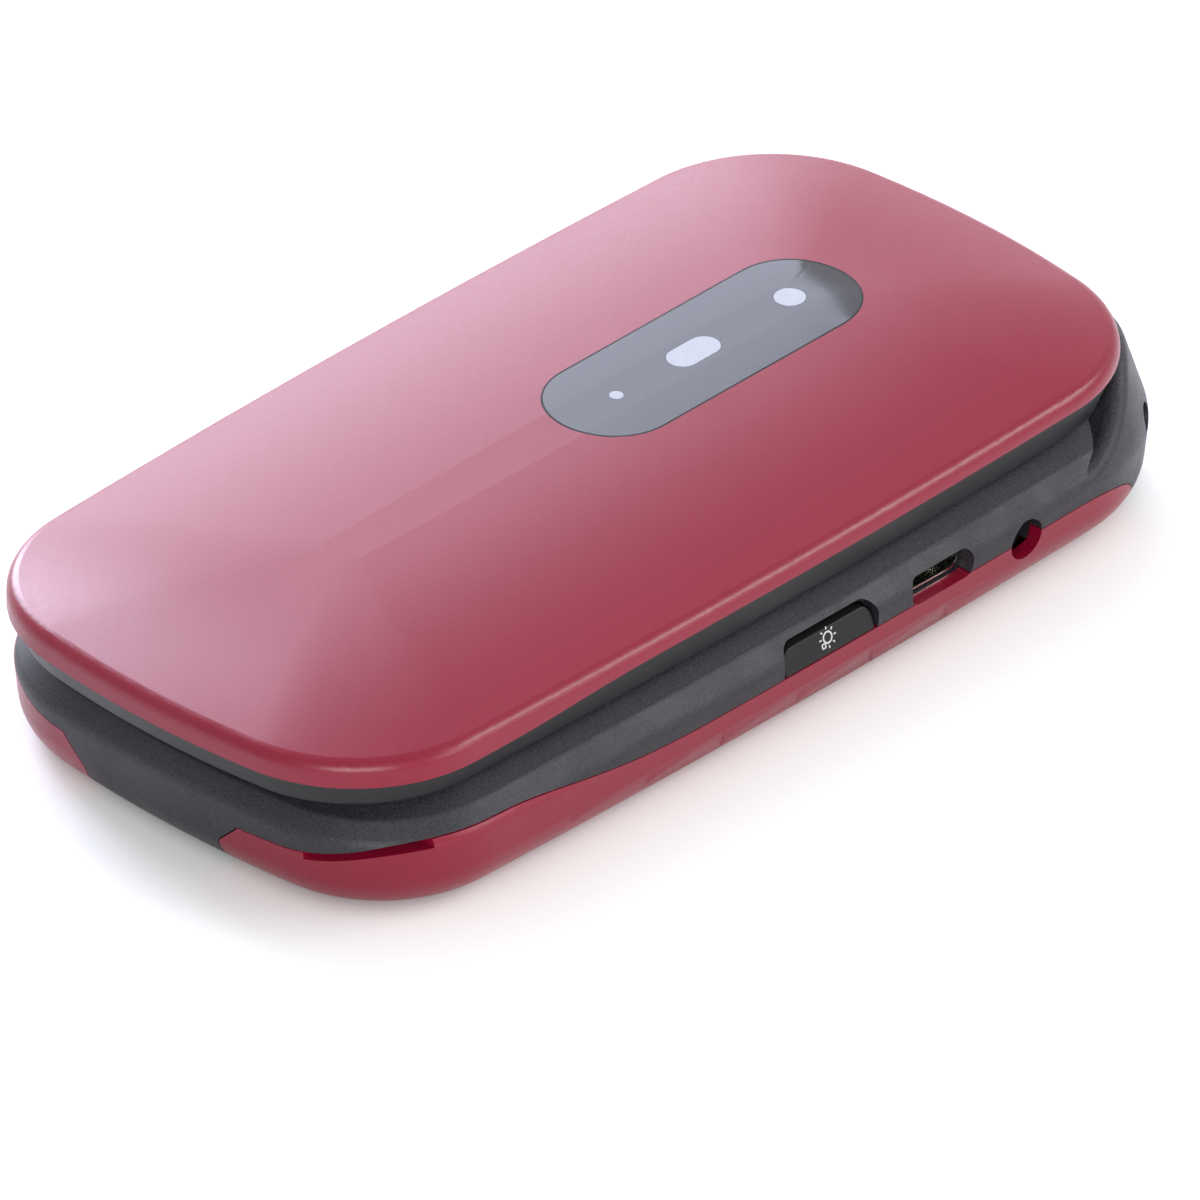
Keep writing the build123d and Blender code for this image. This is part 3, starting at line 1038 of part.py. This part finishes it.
with BuildPart() as volume_rocker:
    add(
        across(
            -OUTSIDE, -SIDE_KEY_FACE, VOLUME_KEY_Y, SIDE_KEY_Z,
            VOLUME_KEY_LENGTH, VOLUME_KEY_HEIGHT, 1.1,
        ),
    )
    add(base_form.part, mode=Mode.INTERSECT)
    add(
        across(
            -SIDE_KEY_FACE, -ROCKER_STEM_FOOT, VOLUME_KEY_Y, SIDE_KEY_Z,
            VOLUME_KEY_LENGTH, VOLUME_KEY_HEIGHT - 0.3, 0.6,
        ),
    )
    add(
        across(
            -ROCKER_FLANGE_FACE, -ROCKER_FLANGE_BACK, VOLUME_KEY_Y, SIDE_KEY_Z,
            VOLUME_KEY_LENGTH + 2 * SIDE_FLANGE_REACH, SIDE_FLANGE_HEIGHT, 0.6,
        ),
    )
    for side in (-1, 1):
        stem_y = VOLUME_KEY_Y + side * VOLUME_STEM_REACH
        add(along_x(SIDE_STEM_RADIUS, -ROCKER_STEM_FOOT, -SWITCH_X - 1.45, stem_y, SWITCH_Z))
finish(volume_rocker.part, "volume_rocker")

with BuildPart() as priority_key:
    with BuildSketch(Plane((0, PRIORITY_Y, PRIORITY_SINK))):
        SlotOverall(PRIORITY_LENGTH, PRIORITY_WIDTH)
    extrude(amount=1.0)
    fillet(level_edges(priority_key, PRIORITY_SINK), 0.35)
    with BuildSketch(Plane((0, PRIORITY_Y, COVER_WALL + 0.1))):
        SlotOverall(PRIORITY_LENGTH + 1.6, PRIORITY_WIDTH + 1.6)
    extrude(amount=PRIORITY_FLANGE_TOP - COVER_WALL - 0.1)
    with BuildSketch(Plane((0, PRIORITY_Y, PRIORITY_FLANGE_TOP))):
        Circle(STEM_RADIUS)
    extrude(amount=CHASSIS_LOW - FIT - PRIORITY_SWITCH - KEY_TRAVEL - PRIORITY_FLANGE_TOP)
finish(priority_key.part, "priority_key")
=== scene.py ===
import bmesh
import bpy
import math
from mathutils import Matrix, Vector
from mathutils.bvhtree import BVHTree


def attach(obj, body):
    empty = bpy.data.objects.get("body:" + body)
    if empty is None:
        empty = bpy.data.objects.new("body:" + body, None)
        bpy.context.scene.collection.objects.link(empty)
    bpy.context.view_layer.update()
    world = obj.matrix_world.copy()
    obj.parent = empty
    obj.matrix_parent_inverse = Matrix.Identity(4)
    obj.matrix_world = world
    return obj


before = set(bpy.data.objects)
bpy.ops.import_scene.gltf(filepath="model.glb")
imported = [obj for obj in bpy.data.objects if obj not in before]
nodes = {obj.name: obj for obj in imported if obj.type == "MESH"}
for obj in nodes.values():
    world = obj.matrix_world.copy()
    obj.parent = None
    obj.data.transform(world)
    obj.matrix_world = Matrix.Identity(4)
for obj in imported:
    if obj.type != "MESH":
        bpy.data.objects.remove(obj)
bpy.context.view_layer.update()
MM = 0.001
scene = bpy.context.scene
scene.view_settings.view_transform = "Standard"

# ---------------------------------------------------------------- camera
AZIMUTH, ELEVATION = math.radians(43.951), math.radians(33.233)
TARGET = Vector((8.975, -6.381, 8.0)) * MM      # the point at the middle of the picture
DISTANCE = 4.893
FOCAL_PIXELS, IMAGE_PIXELS = 55556, 1200
SENSOR_WIDTH = 36
NEAREST, FARTHEST = 0.1, 40                     # the camera's clipping distances, in metres

back = Vector((
    math.sin(AZIMUTH) * math.cos(ELEVATION),
    -math.cos(AZIMUTH) * math.cos(ELEVATION),
    math.sin(ELEVATION),
))
camera = bpy.data.objects.new("camera", bpy.data.cameras.new("camera"))
camera.data.sensor_width = SENSOR_WIDTH
camera.data.lens = FOCAL_PIXELS * SENSOR_WIDTH / IMAGE_PIXELS
camera.data.clip_start, camera.data.clip_end = NEAREST, FARTHEST
camera.location = TARGET + back * DISTANCE
camera.rotation_euler = back.to_track_quat("Z", "Y").to_euler()
scene.collection.objects.link(camera)
scene.camera = camera


# ---------------------------------------------------------------- node helpers
MIX_FIRST, MIX_SECOND, MIX_RESULT = 6, 7, 2     # the Mix node's sockets for colours


class Shader:
    """A material under construction: its Principled shader, and short calls for the usual nodes."""

    def __init__(self, name, **constants):
        self.material = bpy.data.materials.new(name)
        self.material.use_nodes = True
        self.tree = self.material.node_tree
        self.bsdf = self.tree.nodes["Principled BSDF"]
        for socket, value in constants.items():
            self.bsdf.inputs[socket.replace("_", " ")].default_value = value
        self.place = self.tree.nodes.new("ShaderNodeTexCoord").outputs["Object"]

    def new(self, kind, **inputs):
        """A node with its inputs set to values or linked to sockets. Underscores stand for spaces."""
        node = self.tree.nodes.new(kind)
        for name, value in inputs.items():
            self.put(node.inputs[name.replace("_", " ")], value)
        return node

    def put(self, socket, value):
        if isinstance(value, bpy.types.NodeSocket):
            self.tree.links.new(value, socket)
        else:
            socket.default_value = value

    def noise(self, size_mm, detail=2.0, roughness=0.5, distortion=0.0):
        """Noise with blobs of about that size, as a value round 0.5."""
        node = self.new("ShaderNodeTexNoise", Vector=self.place, Scale=1 / (size_mm * MM),
                        Detail=detail, Roughness=roughness, Distortion=distortion)
        return node.outputs["Fac"]

    def spread(self, value, low, high):
        """A noise value, most of which lies between 0.35 and 0.65, stretched to a range."""
        source = {"From_Min": 0.35, "From_Max": 0.65}
        node = self.new("ShaderNodeMapRange", Value=value, To_Min=low, To_Max=high, **source)
        return node.outputs["Result"]

    def mix(self, factor, first, second):
        """A blend of two colours, each a socket or three linear values."""
        node = self.tree.nodes.new("ShaderNodeMix")
        node.data_type = "RGBA"
        self.put(node.inputs["Factor"], factor)
        for index, value in ((MIX_FIRST, first), (MIX_SECOND, second)):
            self.put(node.inputs[index], (*value, 1) if isinstance(value, tuple) else value)
        return node.outputs[MIX_RESULT]

    def bump(self, height, depth_mm):
        node = self.new("ShaderNodeBump", Height=height, Strength=1.0, Distance=depth_mm * MM)
        return node.outputs["Normal"]

    def colour(self, value):
        self.put(self.bsdf.inputs["Base Color"], value)

    def roughness(self, value):
        self.put(self.bsdf.inputs["Roughness"], value)

    def normal(self, value):
        self.put(self.bsdf.inputs["Normal"], value)


def rgb(red, green, blue):
    """A colour from 0-255 screen values."""
    def linear(value):
        value /= 255
        return value / 12.92 if value <= 0.04045 else ((value + 0.055) / 1.055) ** 2.4
    return (linear(red), linear(green), linear(blue))


# ---------------------------------------------------------------- materials
def red_lacquer(name, deep, light):
    """Satin lacquer: fine orange peel, and a mottle of two reds."""
    shader = Shader(name, Specular_IOR_Level=0.5)
    speckle = shader.noise(0.28, detail=3, roughness=0.7)
    drift = shader.noise(14, detail=2)
    mottled = shader.mix(shader.spread(speckle, 0, 1), deep, light)
    shader.colour(shader.mix(shader.spread(drift, 0, 0.35), mottled, light))
    shader.roughness(shader.spread(shader.noise(0.5, detail=2), 0.29, 0.34))
    shader.normal(shader.bump(shader.noise(0.42, detail=3, roughness=0.55), 0.006))
    return shader.material


def moulded(name, dark, pale, grain_mm=0.22, depth_mm=0.012, rough=(0.4, 0.52), specular=0.5):
    """Moulded plastic with a fine spark-eroded grain and faint handling marks."""
    shader = Shader(name, Specular_IOR_Level=specular)
    speckle = shader.noise(grain_mm, detail=3, roughness=0.7)
    marks = shader.noise(6, detail=4, roughness=0.6, distortion=0.4)
    shader.colour(shader.mix(shader.spread(speckle, 0, 1), dark, pale))
    shader.roughness(shader.spread(marks, *rough))
    shader.normal(shader.bump(speckle, depth_mm))
    return shader.material


def glossy_plate(name, dark, pale):
    """A clear gloss plate, printed on its back in a dark grey with fine metal flake."""
    shader = Shader(name, Specular_IOR_Level=0.5)
    flake = shader.noise(0.1, detail=2, roughness=0.8)
    shader.colour(shader.mix(shader.spread(flake, 0, 1), dark, pale))
    shader.roughness(shader.spread(shader.noise(3, detail=3), 0.07, 0.1))
    return shader.material


def clear_window(name, tone, rough=(0.05, 0.11)):
    """A polished window, in the tone of what lies behind it."""
    shader = Shader(name, IOR=1.49)
    haze = shader.noise(0.7, detail=2)
    paler = tuple(min(1, value * 1.05) for value in tone)
    shader.colour(shader.mix(shader.spread(haze, 0, 1), tone, paler))
    shader.roughness(shader.spread(haze, *rough))
    return shader.material


def turned_metal(name, dark, pale, rough=(0.25, 0.4)):
    """Plain worked metal with fine marks and a little stain."""
    shader = Shader(name, Metallic=1.0)
    marks = shader.noise(0.15, detail=4, roughness=0.7)
    stain = shader.noise(2.5, detail=3)
    shader.colour(shader.mix(shader.spread(stain, 0, 1), dark, pale))
    shader.roughness(shader.spread(marks, *rough))
    shader.normal(shader.bump(marks, 0.002))
    return shader.material


RED = red_lacquer("red_lacquer", rgb(146, 10, 46), rgb(156, 18, 52))
BLACK = moulded("black_frame", rgb(24, 23, 27), rgb(66, 64, 71), grain_mm=0.16, depth_mm=0.02, specular=0.35)
BEZEL = moulded(
    "black_bezel", rgb(36, 37, 40), rgb(42, 43, 46), depth_mm=0.004, rough=(0.34, 0.42), specular=0.3,
)
SIDE_KEY = moulded("side_key_black", rgb(20, 20, 22), rgb(26, 26, 28), depth_mm=0.004, specular=0.3)
KEYS = moulded("key_caps", rgb(48, 49, 52), rgb(58, 59, 62), depth_mm=0.005, rough=(0.3, 0.4))
RING = moulded("ring_satin", rgb(120, 122, 127), rgb(134, 136, 141), depth_mm=0.004, rough=(0.28, 0.36))
DARK_PLASTIC = moulded("dark_plastic", rgb(28, 28, 30), rgb(36, 36, 38))
RUBBER = moulded("soft_rubber", rgb(30, 30, 31), rgb(38, 38, 39), depth_mm=0.01, rough=(0.7, 0.82))
BOARD = moulded("green_board", rgb(26, 84, 52), rgb(34, 98, 60), grain_mm=0.8, depth_mm=0.004)
WRAP = moulded("cell_wrap", rgb(70, 72, 78), rgb(78, 80, 86), depth_mm=0.004, rough=(0.3, 0.4))
PLATE = glossy_plate("camera_plate_gloss", rgb(56, 56, 62), rgb(66, 66, 72))
LENS = clear_window("pale_window", rgb(186, 189, 197))
SCREEN_GLASS = clear_window("display_glass", rgb(40, 42, 46))
SCREEN = moulded("display_black", rgb(14, 15, 18), rgb(18, 19, 22), grain_mm=0.3, depth_mm=0.0)
STEEL = turned_metal("plain_steel", rgb(150, 150, 152), rgb(172, 172, 174))
BRIGHT_STEEL = turned_metal("bright_steel", rgb(214, 214, 206), rgb(226, 226, 218), rough=(0.12, 0.2))
GILT = turned_metal("gilt_contact", rgb(204, 164, 88), rgb(224, 186, 110), rough=(0.18, 0.3))
LED = moulded("flash_lamp", rgb(226, 214, 150), rgb(240, 230, 176), depth_mm=0.0)
WHITE_INK = moulded("white_ink", rgb(224, 224, 226), rgb(238, 238, 240), grain_mm=0.1, depth_mm=0.002)
GREEN_INK = moulded("green_ink", rgb(44, 158, 84), rgb(56, 172, 94), grain_mm=0.1, depth_mm=0.002)
RED_INK = moulded("red_ink", rgb(196, 40, 44), rgb(208, 50, 54), grain_mm=0.1, depth_mm=0.002)
DARK_INK = moulded("dark_ink", rgb(34, 35, 38), rgb(44, 45, 48), grain_mm=0.1, depth_mm=0.002)

# the pieces that wear each material; every other piece is a key cap
WORN_BY = (
    (RED, "lid_outer_cover rear_cover"),
    (BLACK, "base_frame hinge_barrel"),
    (SIDE_KEY, "light_key volume_rocker priority_key"),
    (BEZEL, "lid_inner_frame"),
    (RING, "navigation_ring"),
    (DARK_PLASTIC, "camera_module earpiece_speaker loudspeaker card_holder audio_jack battery_contacts "
                   "side_switches priority_switch antenna"),
    (RUBBER, "lid_bumpers"),
    (BOARD, "main_board lid_board flex_cable_coil dome_sheet"),
    (WRAP, "battery"),
    (PLATE, "camera_plate"),
    (LENS, "camera_window flash_lens indicator_light"),
    (SCREEN_GLASS, "display_window"),
    (SCREEN, "display_module"),
    (BRIGHT_STEEL, "usb_connector"),
    (STEEL, "hinge_cartridge hinge_shaft hinge_pin base_screws lid_screws mid_chassis "
            "vibration_motor vibration_weight earpiece_grille microphone"),
    (GILT, "charging_contacts"),
    (LED, "flash_led"),
)
dressed = {name: paint for paint, names in WORN_BY for name in names.split()}
for name, node in nodes.items():
    node.data.materials.clear()
    node.data.materials.append(dressed.get(name, KEYS))


# ---------------------------------------------------------------- strokes and marks, in mm
INK = 0.02      # thickness of a printed mark


def ray(angle, first, last):
    """Two points straight out from the middle, at an angle in degrees."""
    turn = math.radians(angle)
    return [(reach * math.cos(turn), reach * math.sin(turn)) for reach in (first, last)]


def bar(start, end, width):
    """A straight stroke as a loop of points, from start to end."""
    (x0, y0), (x1, y1) = start, end
    length = math.hypot(x1 - x0, y1 - y0)
    side_x, side_y = -(y1 - y0) / length * width / 2, (x1 - x0) / length * width / 2
    return [
        (x0 + side_x, y0 + side_y),
        (x0 - side_x, y0 - side_y),
        (x1 - side_x, y1 - side_y),
        (x1 + side_x, y1 + side_y),
    ]


def arc(radius, width, first, last, steps=24):
    """A curved stroke as a strip of loops, between two angles in degrees."""
    inner, outer = radius - width / 2, radius + width / 2
    rim = [ray(first + (last - first) * step / steps, inner, outer) for step in range(steps + 1)]
    return [[near[0], near[1], far[1], far[0]] for near, far in zip(rim, rim[1:])]


def laid(name, mesh, place, right, upward, body, ink):
    """A mark's mesh, drawn in its own XY plane, set on a surface of a moving body."""
    mesh.materials.append(ink)
    mark = bpy.data.objects.new(name, mesh)
    right, upward = Vector(right).normalized(), Vector(upward).normalized()
    turn = Matrix((right, upward, right.cross(upward))).transposed().to_4x4()
    mark.matrix_world = Matrix.Translation(Vector(place) * MM) @ turn
    scene.collection.objects.link(mark)
    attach(mark, body)


def printed(name, loops, place, right, upward, body, ink):
    """Flat closed loops of points, raised by the ink's thickness and laid on a key's surface."""
    shape = bmesh.new()
    for loop in loops:
        low = [shape.verts.new((x * MM, y * MM, 0)) for x, y in loop]
        high = [shape.verts.new((x * MM, y * MM, INK * MM)) for x, y in loop]
        shape.faces.new(low)
        shape.faces.new(high)
        for here in range(len(loop)):
            there = (here + 1) % len(loop)
            shape.faces.new((low[here], low[there], high[there], high[here]))
    bmesh.ops.recalc_face_normals(shape, faces=shape.faces)
    mesh = bpy.data.meshes.new(name)
    shape.to_mesh(mesh)
    shape.free()
    laid(name, mesh, place, right, upward, body, ink)


def lettered(name, text, height, place, body, ink):
    """A plain character on a key of the keypad, which faces up and is read from the free end."""
    curve = bpy.data.curves.new(name, "FONT")
    curve.body = text
    curve.size = height * MM
    curve.extrude = INK * MM / 2
    curve.align_x, curve.align_y = "CENTER", "CENTER"
    writing = bpy.data.objects.new(name + "_text", curve)
    scene.collection.objects.link(writing)
    bpy.context.view_layer.update()
    mesh = bpy.data.meshes.new_from_object(writing)
    bpy.data.objects.remove(writing)
    laid(name, mesh, place, EAST, NORTH, body, ink)


# ---------------------------------------------------------------- marks on the keypad
EAST, NORTH = (1, 0, 0), (0, 1, 0)
CAP_TOP = 11.3
KEY_TOP = CAP_TOP + INK / 2
RING_Y = 23.8                       # middle of the OK key and its ring
OUTER_KEY_X = 16.6                  # the columns of soft keys, call key and end key
SOFT_Y, CALL_Y = 29.8, 17.2
DIGIT_HEIGHT, OK_HEIGHT = 6.4, 3.2
COLUMN_PITCH, ROW_PITCH, FIRST_ROW_Y = 15.0, 12.2, 5.0
CHARACTERS = "123456789*0#"
NAMES = ("1", "2", "3", "4", "5", "6", "7", "8", "9", "star", "0", "hash")


def key_characters():
    """The character of each number key, in four rows of three, and the OK key's word."""
    for index, (character, name) in enumerate(zip(CHARACTERS, NAMES)):
        row, column = divmod(index, 3)
        place = ((column - 1) * COLUMN_PITCH, FIRST_ROW_Y - row * ROW_PITCH, KEY_TOP)
        lettered("mark_" + name, character, DIGIT_HEIGHT, place, "key_" + name + "_body", WHITE_INK)
    lettered("mark_ok", "OK", OK_HEIGHT, (0, RING_Y, KEY_TOP), "key_ok_body", WHITE_INK)


def soft_key_dashes():
    dash_reach, dash_width = 1.8, 0.55
    for side, name in ((-1, "soft_left"), (1, "soft_right")):
        dash = [bar((-dash_reach, 0), (dash_reach, 0), dash_width)]
        place = (side * OUTER_KEY_X, SOFT_Y, KEY_TOP)
        printed("mark_" + name, dash, place, EAST, NORTH, "key_" + name + "_body", WHITE_INK)


def handset(lean):
    """A telephone handset: a bowed grip with a short bar across each end, turned by an angle in degrees."""
    radius, grip, half_span, steps = 2.6, 0.75, 58, 16
    end_inner, end_outer, end_width = 1.75, 2.964, 1.35
    middle = lean + 90
    strokes = arc(radius, grip, middle - half_span, middle + half_span, steps)
    for end in (-half_span, half_span):
        strokes.append(bar(*ray(middle + end, end_outer, end_inner), end_width))
    return strokes


def call_and_end_marks():
    """The call key's handset is lifted, and the end key's is laid down."""
    lifted, laid_down = 45, 90
    call_shift_x, call_shift_y = 0.9, 0.3       # sets the leaning handset in the middle of its key
    call_place = (-OUTER_KEY_X + call_shift_x, CALL_Y + call_shift_y, KEY_TOP)
    end_place = (OUTER_KEY_X, CALL_Y, KEY_TOP)
    printed("mark_call", handset(lifted), call_place, EAST, NORTH, "key_call_body", GREEN_INK)
    printed("mark_end", handset(laid_down), end_place, EAST, NORTH, "key_end_body", RED_INK)


def ring_arrows():
    """An arrowhead on each side of the navigation ring, pointing outwards."""
    reach, arrowhead = 7.3, [(-0.45, -0.8), (0.65, 0), (-0.45, 0.8)]
    for name, turn in (("right", 0), ("up", 90), ("left", 180), ("down", 270)):
        angle = math.radians(turn)
        along = Vector((math.cos(angle), math.sin(angle), 0))
        across = Vector((-along.y, along.x, 0))
        place = Vector((0, RING_Y, KEY_TOP)) + along * reach
        printed("mark_" + name, [arrowhead], place, along, across, "navigation_ring_body", DARK_INK)


key_characters()
soft_key_dashes()
call_and_end_marks()
ring_arrows()

# ---------------------------------------------------------------- marks on the side keys
LIGHT_KEY_FOOT_X, LIGHT_KEY_FOOT_Z = 27.4, 6.05         # the light key's face leans in from its foot
LIGHT_KEY_HEAD_X, LIGHT_KEY_HEAD_Z = 26.75, 8.4
LAMP_Y, LAMP_Z = 3.77, 7.5
ROCKER_MARK_Z = 7.1
PLUS_X, PLUS_Y = -27.5, 14.5        # the plus is towards the hinge
MINUS_X, MINUS_Y = -27.58, 1.5      # the minus is towards the free end


def lamp_strokes():
    """A small lamp: a ring, seven rays, and a square foot in place of the eighth."""
    ring_radius, ring_width, thin = 0.52, 0.17, 0.1445
    ray_inner, ray_outer = 0.76, 1.04
    ray_count, ray_at_foot = 8, 5
    foot_middle, foot_half = -0.62, 0.2
    strokes = arc(ring_radius, ring_width, 0, 360)
    for step in range(ray_count):
        if step != ray_at_foot:
            strokes.append(bar(*ray(360 / ray_count * step, ray_inner, ray_outer), thin))
    low, high = foot_middle - foot_half, foot_middle + foot_half
    corners = [(low, low), (high, low), (high, high), (low, high)]
    for here, there in zip(corners, corners[1:] + corners[:1]):
        strokes.append(bar(here, there, thin))
    return strokes


def light_key_mark():
    lean = math.atan2(LIGHT_KEY_FOOT_X - LIGHT_KEY_HEAD_X, LIGHT_KEY_HEAD_Z - LIGHT_KEY_FOOT_Z)
    clear = 0.001       # holds the ink just off the face
    face_x = LIGHT_KEY_FOOT_X - (LAMP_Z - LIGHT_KEY_FOOT_Z) * math.tan(lean)
    place = (face_x + clear, LAMP_Y, LAMP_Z)
    up_the_face = (-math.sin(lean), 0, math.cos(lean))
    printed("mark_light", lamp_strokes(), place, NORTH, up_the_face, "light_key_body", WHITE_INK)


def volume_marks():
    reach, width = 0.7, 0.28
    south, up_the_face = (0, -1, 0), (-0.06, 0, 1)
    level = bar((-reach, 0), (reach, 0), width)
    upright = bar((0, -reach), (0, reach), width)
    for name, x, y, strokes in (
        ("plus", PLUS_X, PLUS_Y, (level, upright)),
        ("minus", MINUS_X, MINUS_Y, (level,)),
    ):
        place = (x, y, ROCKER_MARK_Z)
        printed("mark_" + name, strokes, place, south, up_the_face, "volume_rocker_body", WHITE_INK)


light_key_mark()
volume_marks()

# ---------------------------------------------------------------- painted shade round the camera plate: a dark bead in the joint
PLATE_Y, PLATE_LENGTH, PLATE_WIDTH = 15.95, 35.3, 12.4
SHADE_BEAD_IN, SHADE_BEAD_OUT = -0.05, 0.17             # the bead's edges, outwards from the plate's rim
PROBE_IN, PROBE_OUT = -0.3, 0.4                 # where the skin's height is taken, clear of the joint
SHADE_BEAD_DEPTH, SHADE_BEAD_RISE = 0.4, 0.006
ABOVE_THE_LID = 40


def plate_rim(spread, steps=48):
    """Points round the camera plate's oval, moved outwards by a spread: two half circles in turn."""
    radius = PLATE_WIDTH / 2 + spread
    reach = (PLATE_LENGTH - PLATE_WIDTH) / 2
    points = []
    for end, start in ((1, 0), (-1, math.pi)):
        for step in range(steps + 1):
            turn = start + math.pi * step / steps
            points.append((radius * math.cos(turn), PLATE_Y + end * reach + radius * math.sin(turn)))
    return points


def top_height(tree, x, y):
    """Height of the lid's skin in mm, found by looking straight down on it."""
    hit = tree.ray_cast(Vector((x, y, ABOVE_THE_LID)) * MM, Vector((0, 0, -1)))[0]
    return hit.z / MM


def painted_shade_bead():
    """A dark rubber bead laid in the joint between the camera plate and the lid, as painted shade in the
    gap.
    """
    shape = bmesh.new()
    for node in ("lid_outer_cover", "camera_plate"):
        shape.from_mesh(nodes[node].data)
    skin = BVHTree.FromBMesh(shape)
    shape.clear()
    rows = []
    for spread, probe, drop in (
        (SHADE_BEAD_IN, PROBE_IN, 0),
        (SHADE_BEAD_OUT, PROBE_OUT, 0),
        (SHADE_BEAD_OUT, PROBE_OUT, SHADE_BEAD_DEPTH),
        (SHADE_BEAD_IN, PROBE_IN, SHADE_BEAD_DEPTH),
    ):
        rows.append([
            shape.verts.new((x * MM, y * MM, (top_height(skin, *near) + SHADE_BEAD_RISE - drop) * MM))
            for (x, y), near in zip(plate_rim(spread), plate_rim(probe))
        ])
    count = len(rows[0])
    for row, following in zip(rows, rows[1:] + rows[:1]):
        for here in range(count):
            there = (here + 1) % count
            shape.faces.new((row[here], row[there], following[there], following[here]))
    bmesh.ops.recalc_face_normals(shape, faces=shape.faces)
    mesh = bpy.data.meshes.new("painted_shade_bead")
    shape.to_mesh(mesh)
    shape.free()
    mesh.materials.append(RUBBER)
    shade_bead = bpy.data.objects.new("painted_shade_bead", mesh)
    scene.collection.objects.link(shade_bead)
    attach(shade_bead, "lid")


# a dark bead in the plate's joint, as painted shade
painted_shade_bead()

# ---------------------------------------------------------------- light, floor and background, in metres
LAMP_DISTANCE = 1.3
COOL, WHITE = (0.76, 0.8, 1.0), (1, 1, 1)
ROOM_LIGHT = 0.05       # the world's strength on the rays that light the phone
FLOOR_HALF = 3.0
FLOOR_TONE = 0.8
FLOOR_LIFT = 0.74       # added to the floor where it is seen directly
PAINTED_SHADOW_REACH = 18             # reach of the painted contact shadow, mm


def soft_box(name, azimuth, elevation, width, height, power, colour=WHITE):
    """An area lamp that faces the phone, at a compass angle and a height above the floor in degrees."""
    turn, lift = math.radians(azimuth), math.radians(elevation)
    away = Vector((math.sin(turn) * math.cos(lift), -math.cos(turn) * math.cos(lift), math.sin(lift)))
    lamp = bpy.data.objects.new(name, bpy.data.lights.new(name, "AREA"))
    lamp.data.shape = "RECTANGLE"
    lamp.data.size, lamp.data.size_y = width, height
    lamp.data.energy = power
    lamp.data.color = colour
    lamp.location = away * LAMP_DISTANCE
    lamp.rotation_euler = away.to_track_quat("Z", "Y").to_euler()
    scene.collection.objects.link(lamp)


def seen_directly(tree):
    """1 on the rays that see the background: from the camera, or in a reflection or through glass."""
    path = tree.nodes.new("ShaderNodeLightPath")
    seen = path.outputs["Is Camera Ray"]
    for kind in ("Is Glossy Ray", "Is Transmission Ray"):
        either = tree.nodes.new("ShaderNodeMath")
        either.operation = "MAXIMUM"
        tree.links.new(seen, either.inputs[0])
        tree.links.new(path.outputs[kind], either.inputs[1])
        seen = either.outputs[0]
    return seen


def white_studio():
    """A white backdrop all round that lights the phone only a little."""
    world = bpy.data.worlds.new("studio")
    scene.world = world
    world.use_nodes = True
    tree = world.node_tree
    tree.nodes.clear()
    choice = tree.nodes.new("ShaderNodeMixShader")
    tree.links.new(seen_directly(tree), choice.inputs[0])
    for index, strength in ((1, ROOM_LIGHT), (2, 1)):
        background = tree.nodes.new("ShaderNodeBackground")
        background.inputs["Color"].default_value = (*WHITE, 1)
        background.inputs["Strength"].default_value = strength
        tree.links.new(background.outputs[0], choice.inputs[index])
    tree.links.new(choice.outputs[0], tree.nodes.new("ShaderNodeOutputWorld").inputs[0])


def pale_floor():
    """A large plain floor. Seen directly it is lifted to white, except near the phone, where an ambient
    occlusion term paints a contact shadow into the lift.
    """
    mesh = bpy.data.meshes.new("floor")
    corners = [(-1, -1), (1, -1), (1, 1), (-1, 1)]
    mesh.from_pydata([(x * FLOOR_HALF, y * FLOOR_HALF, 0) for x, y in corners], [], [(0, 1, 2, 3)])
    floor = bpy.data.objects.new("floor", mesh)
    scene.collection.objects.link(floor)
    tone = (FLOOR_TONE, FLOOR_TONE, FLOOR_TONE, 1)
    shader = Shader("floor_white", Base_Color=tone, Roughness=0.9, Specular_IOR_Level=0.0)
    lift = shader.tree.nodes.new("ShaderNodeMath")
    lift.operation = "MULTIPLY"
    lift.inputs[0].default_value = FLOOR_LIFT
    shader.put(lift.inputs[1], seen_directly(shader.tree))
    shader.put(shader.bsdf.inputs["Emission Strength"], lift.outputs[0])
    # painted contact shadow: ambient occlusion darkens the lift near the phone
    painted_shadow = shader.new("ShaderNodeAmbientOcclusion", Distance=PAINTED_SHADOW_REACH * MM)
    shader.put(shader.bsdf.inputs["Emission Color"], painted_shadow.outputs["Color"])
    mesh.materials.append(shader.material)


soft_box("back_left_box", 241, 28, 0.84, 1.05, 8.7, COOL)
soft_box("left_box", 255, 28, 0.5, 1.05, 19.4, COOL)
soft_box("back_low_strip", 225, 10, 0.8, 0.25, 0.7, COOL)
soft_box("front_fill", 44, 25, 0.8, 0.5, 7.7)
soft_box("right_fill", 110, 20, 0.65, 0.43, 2.6)
soft_box("back_right_strip", 140, 35, 0.87, 0.22, 5.5)
white_studio()
pale_floor()
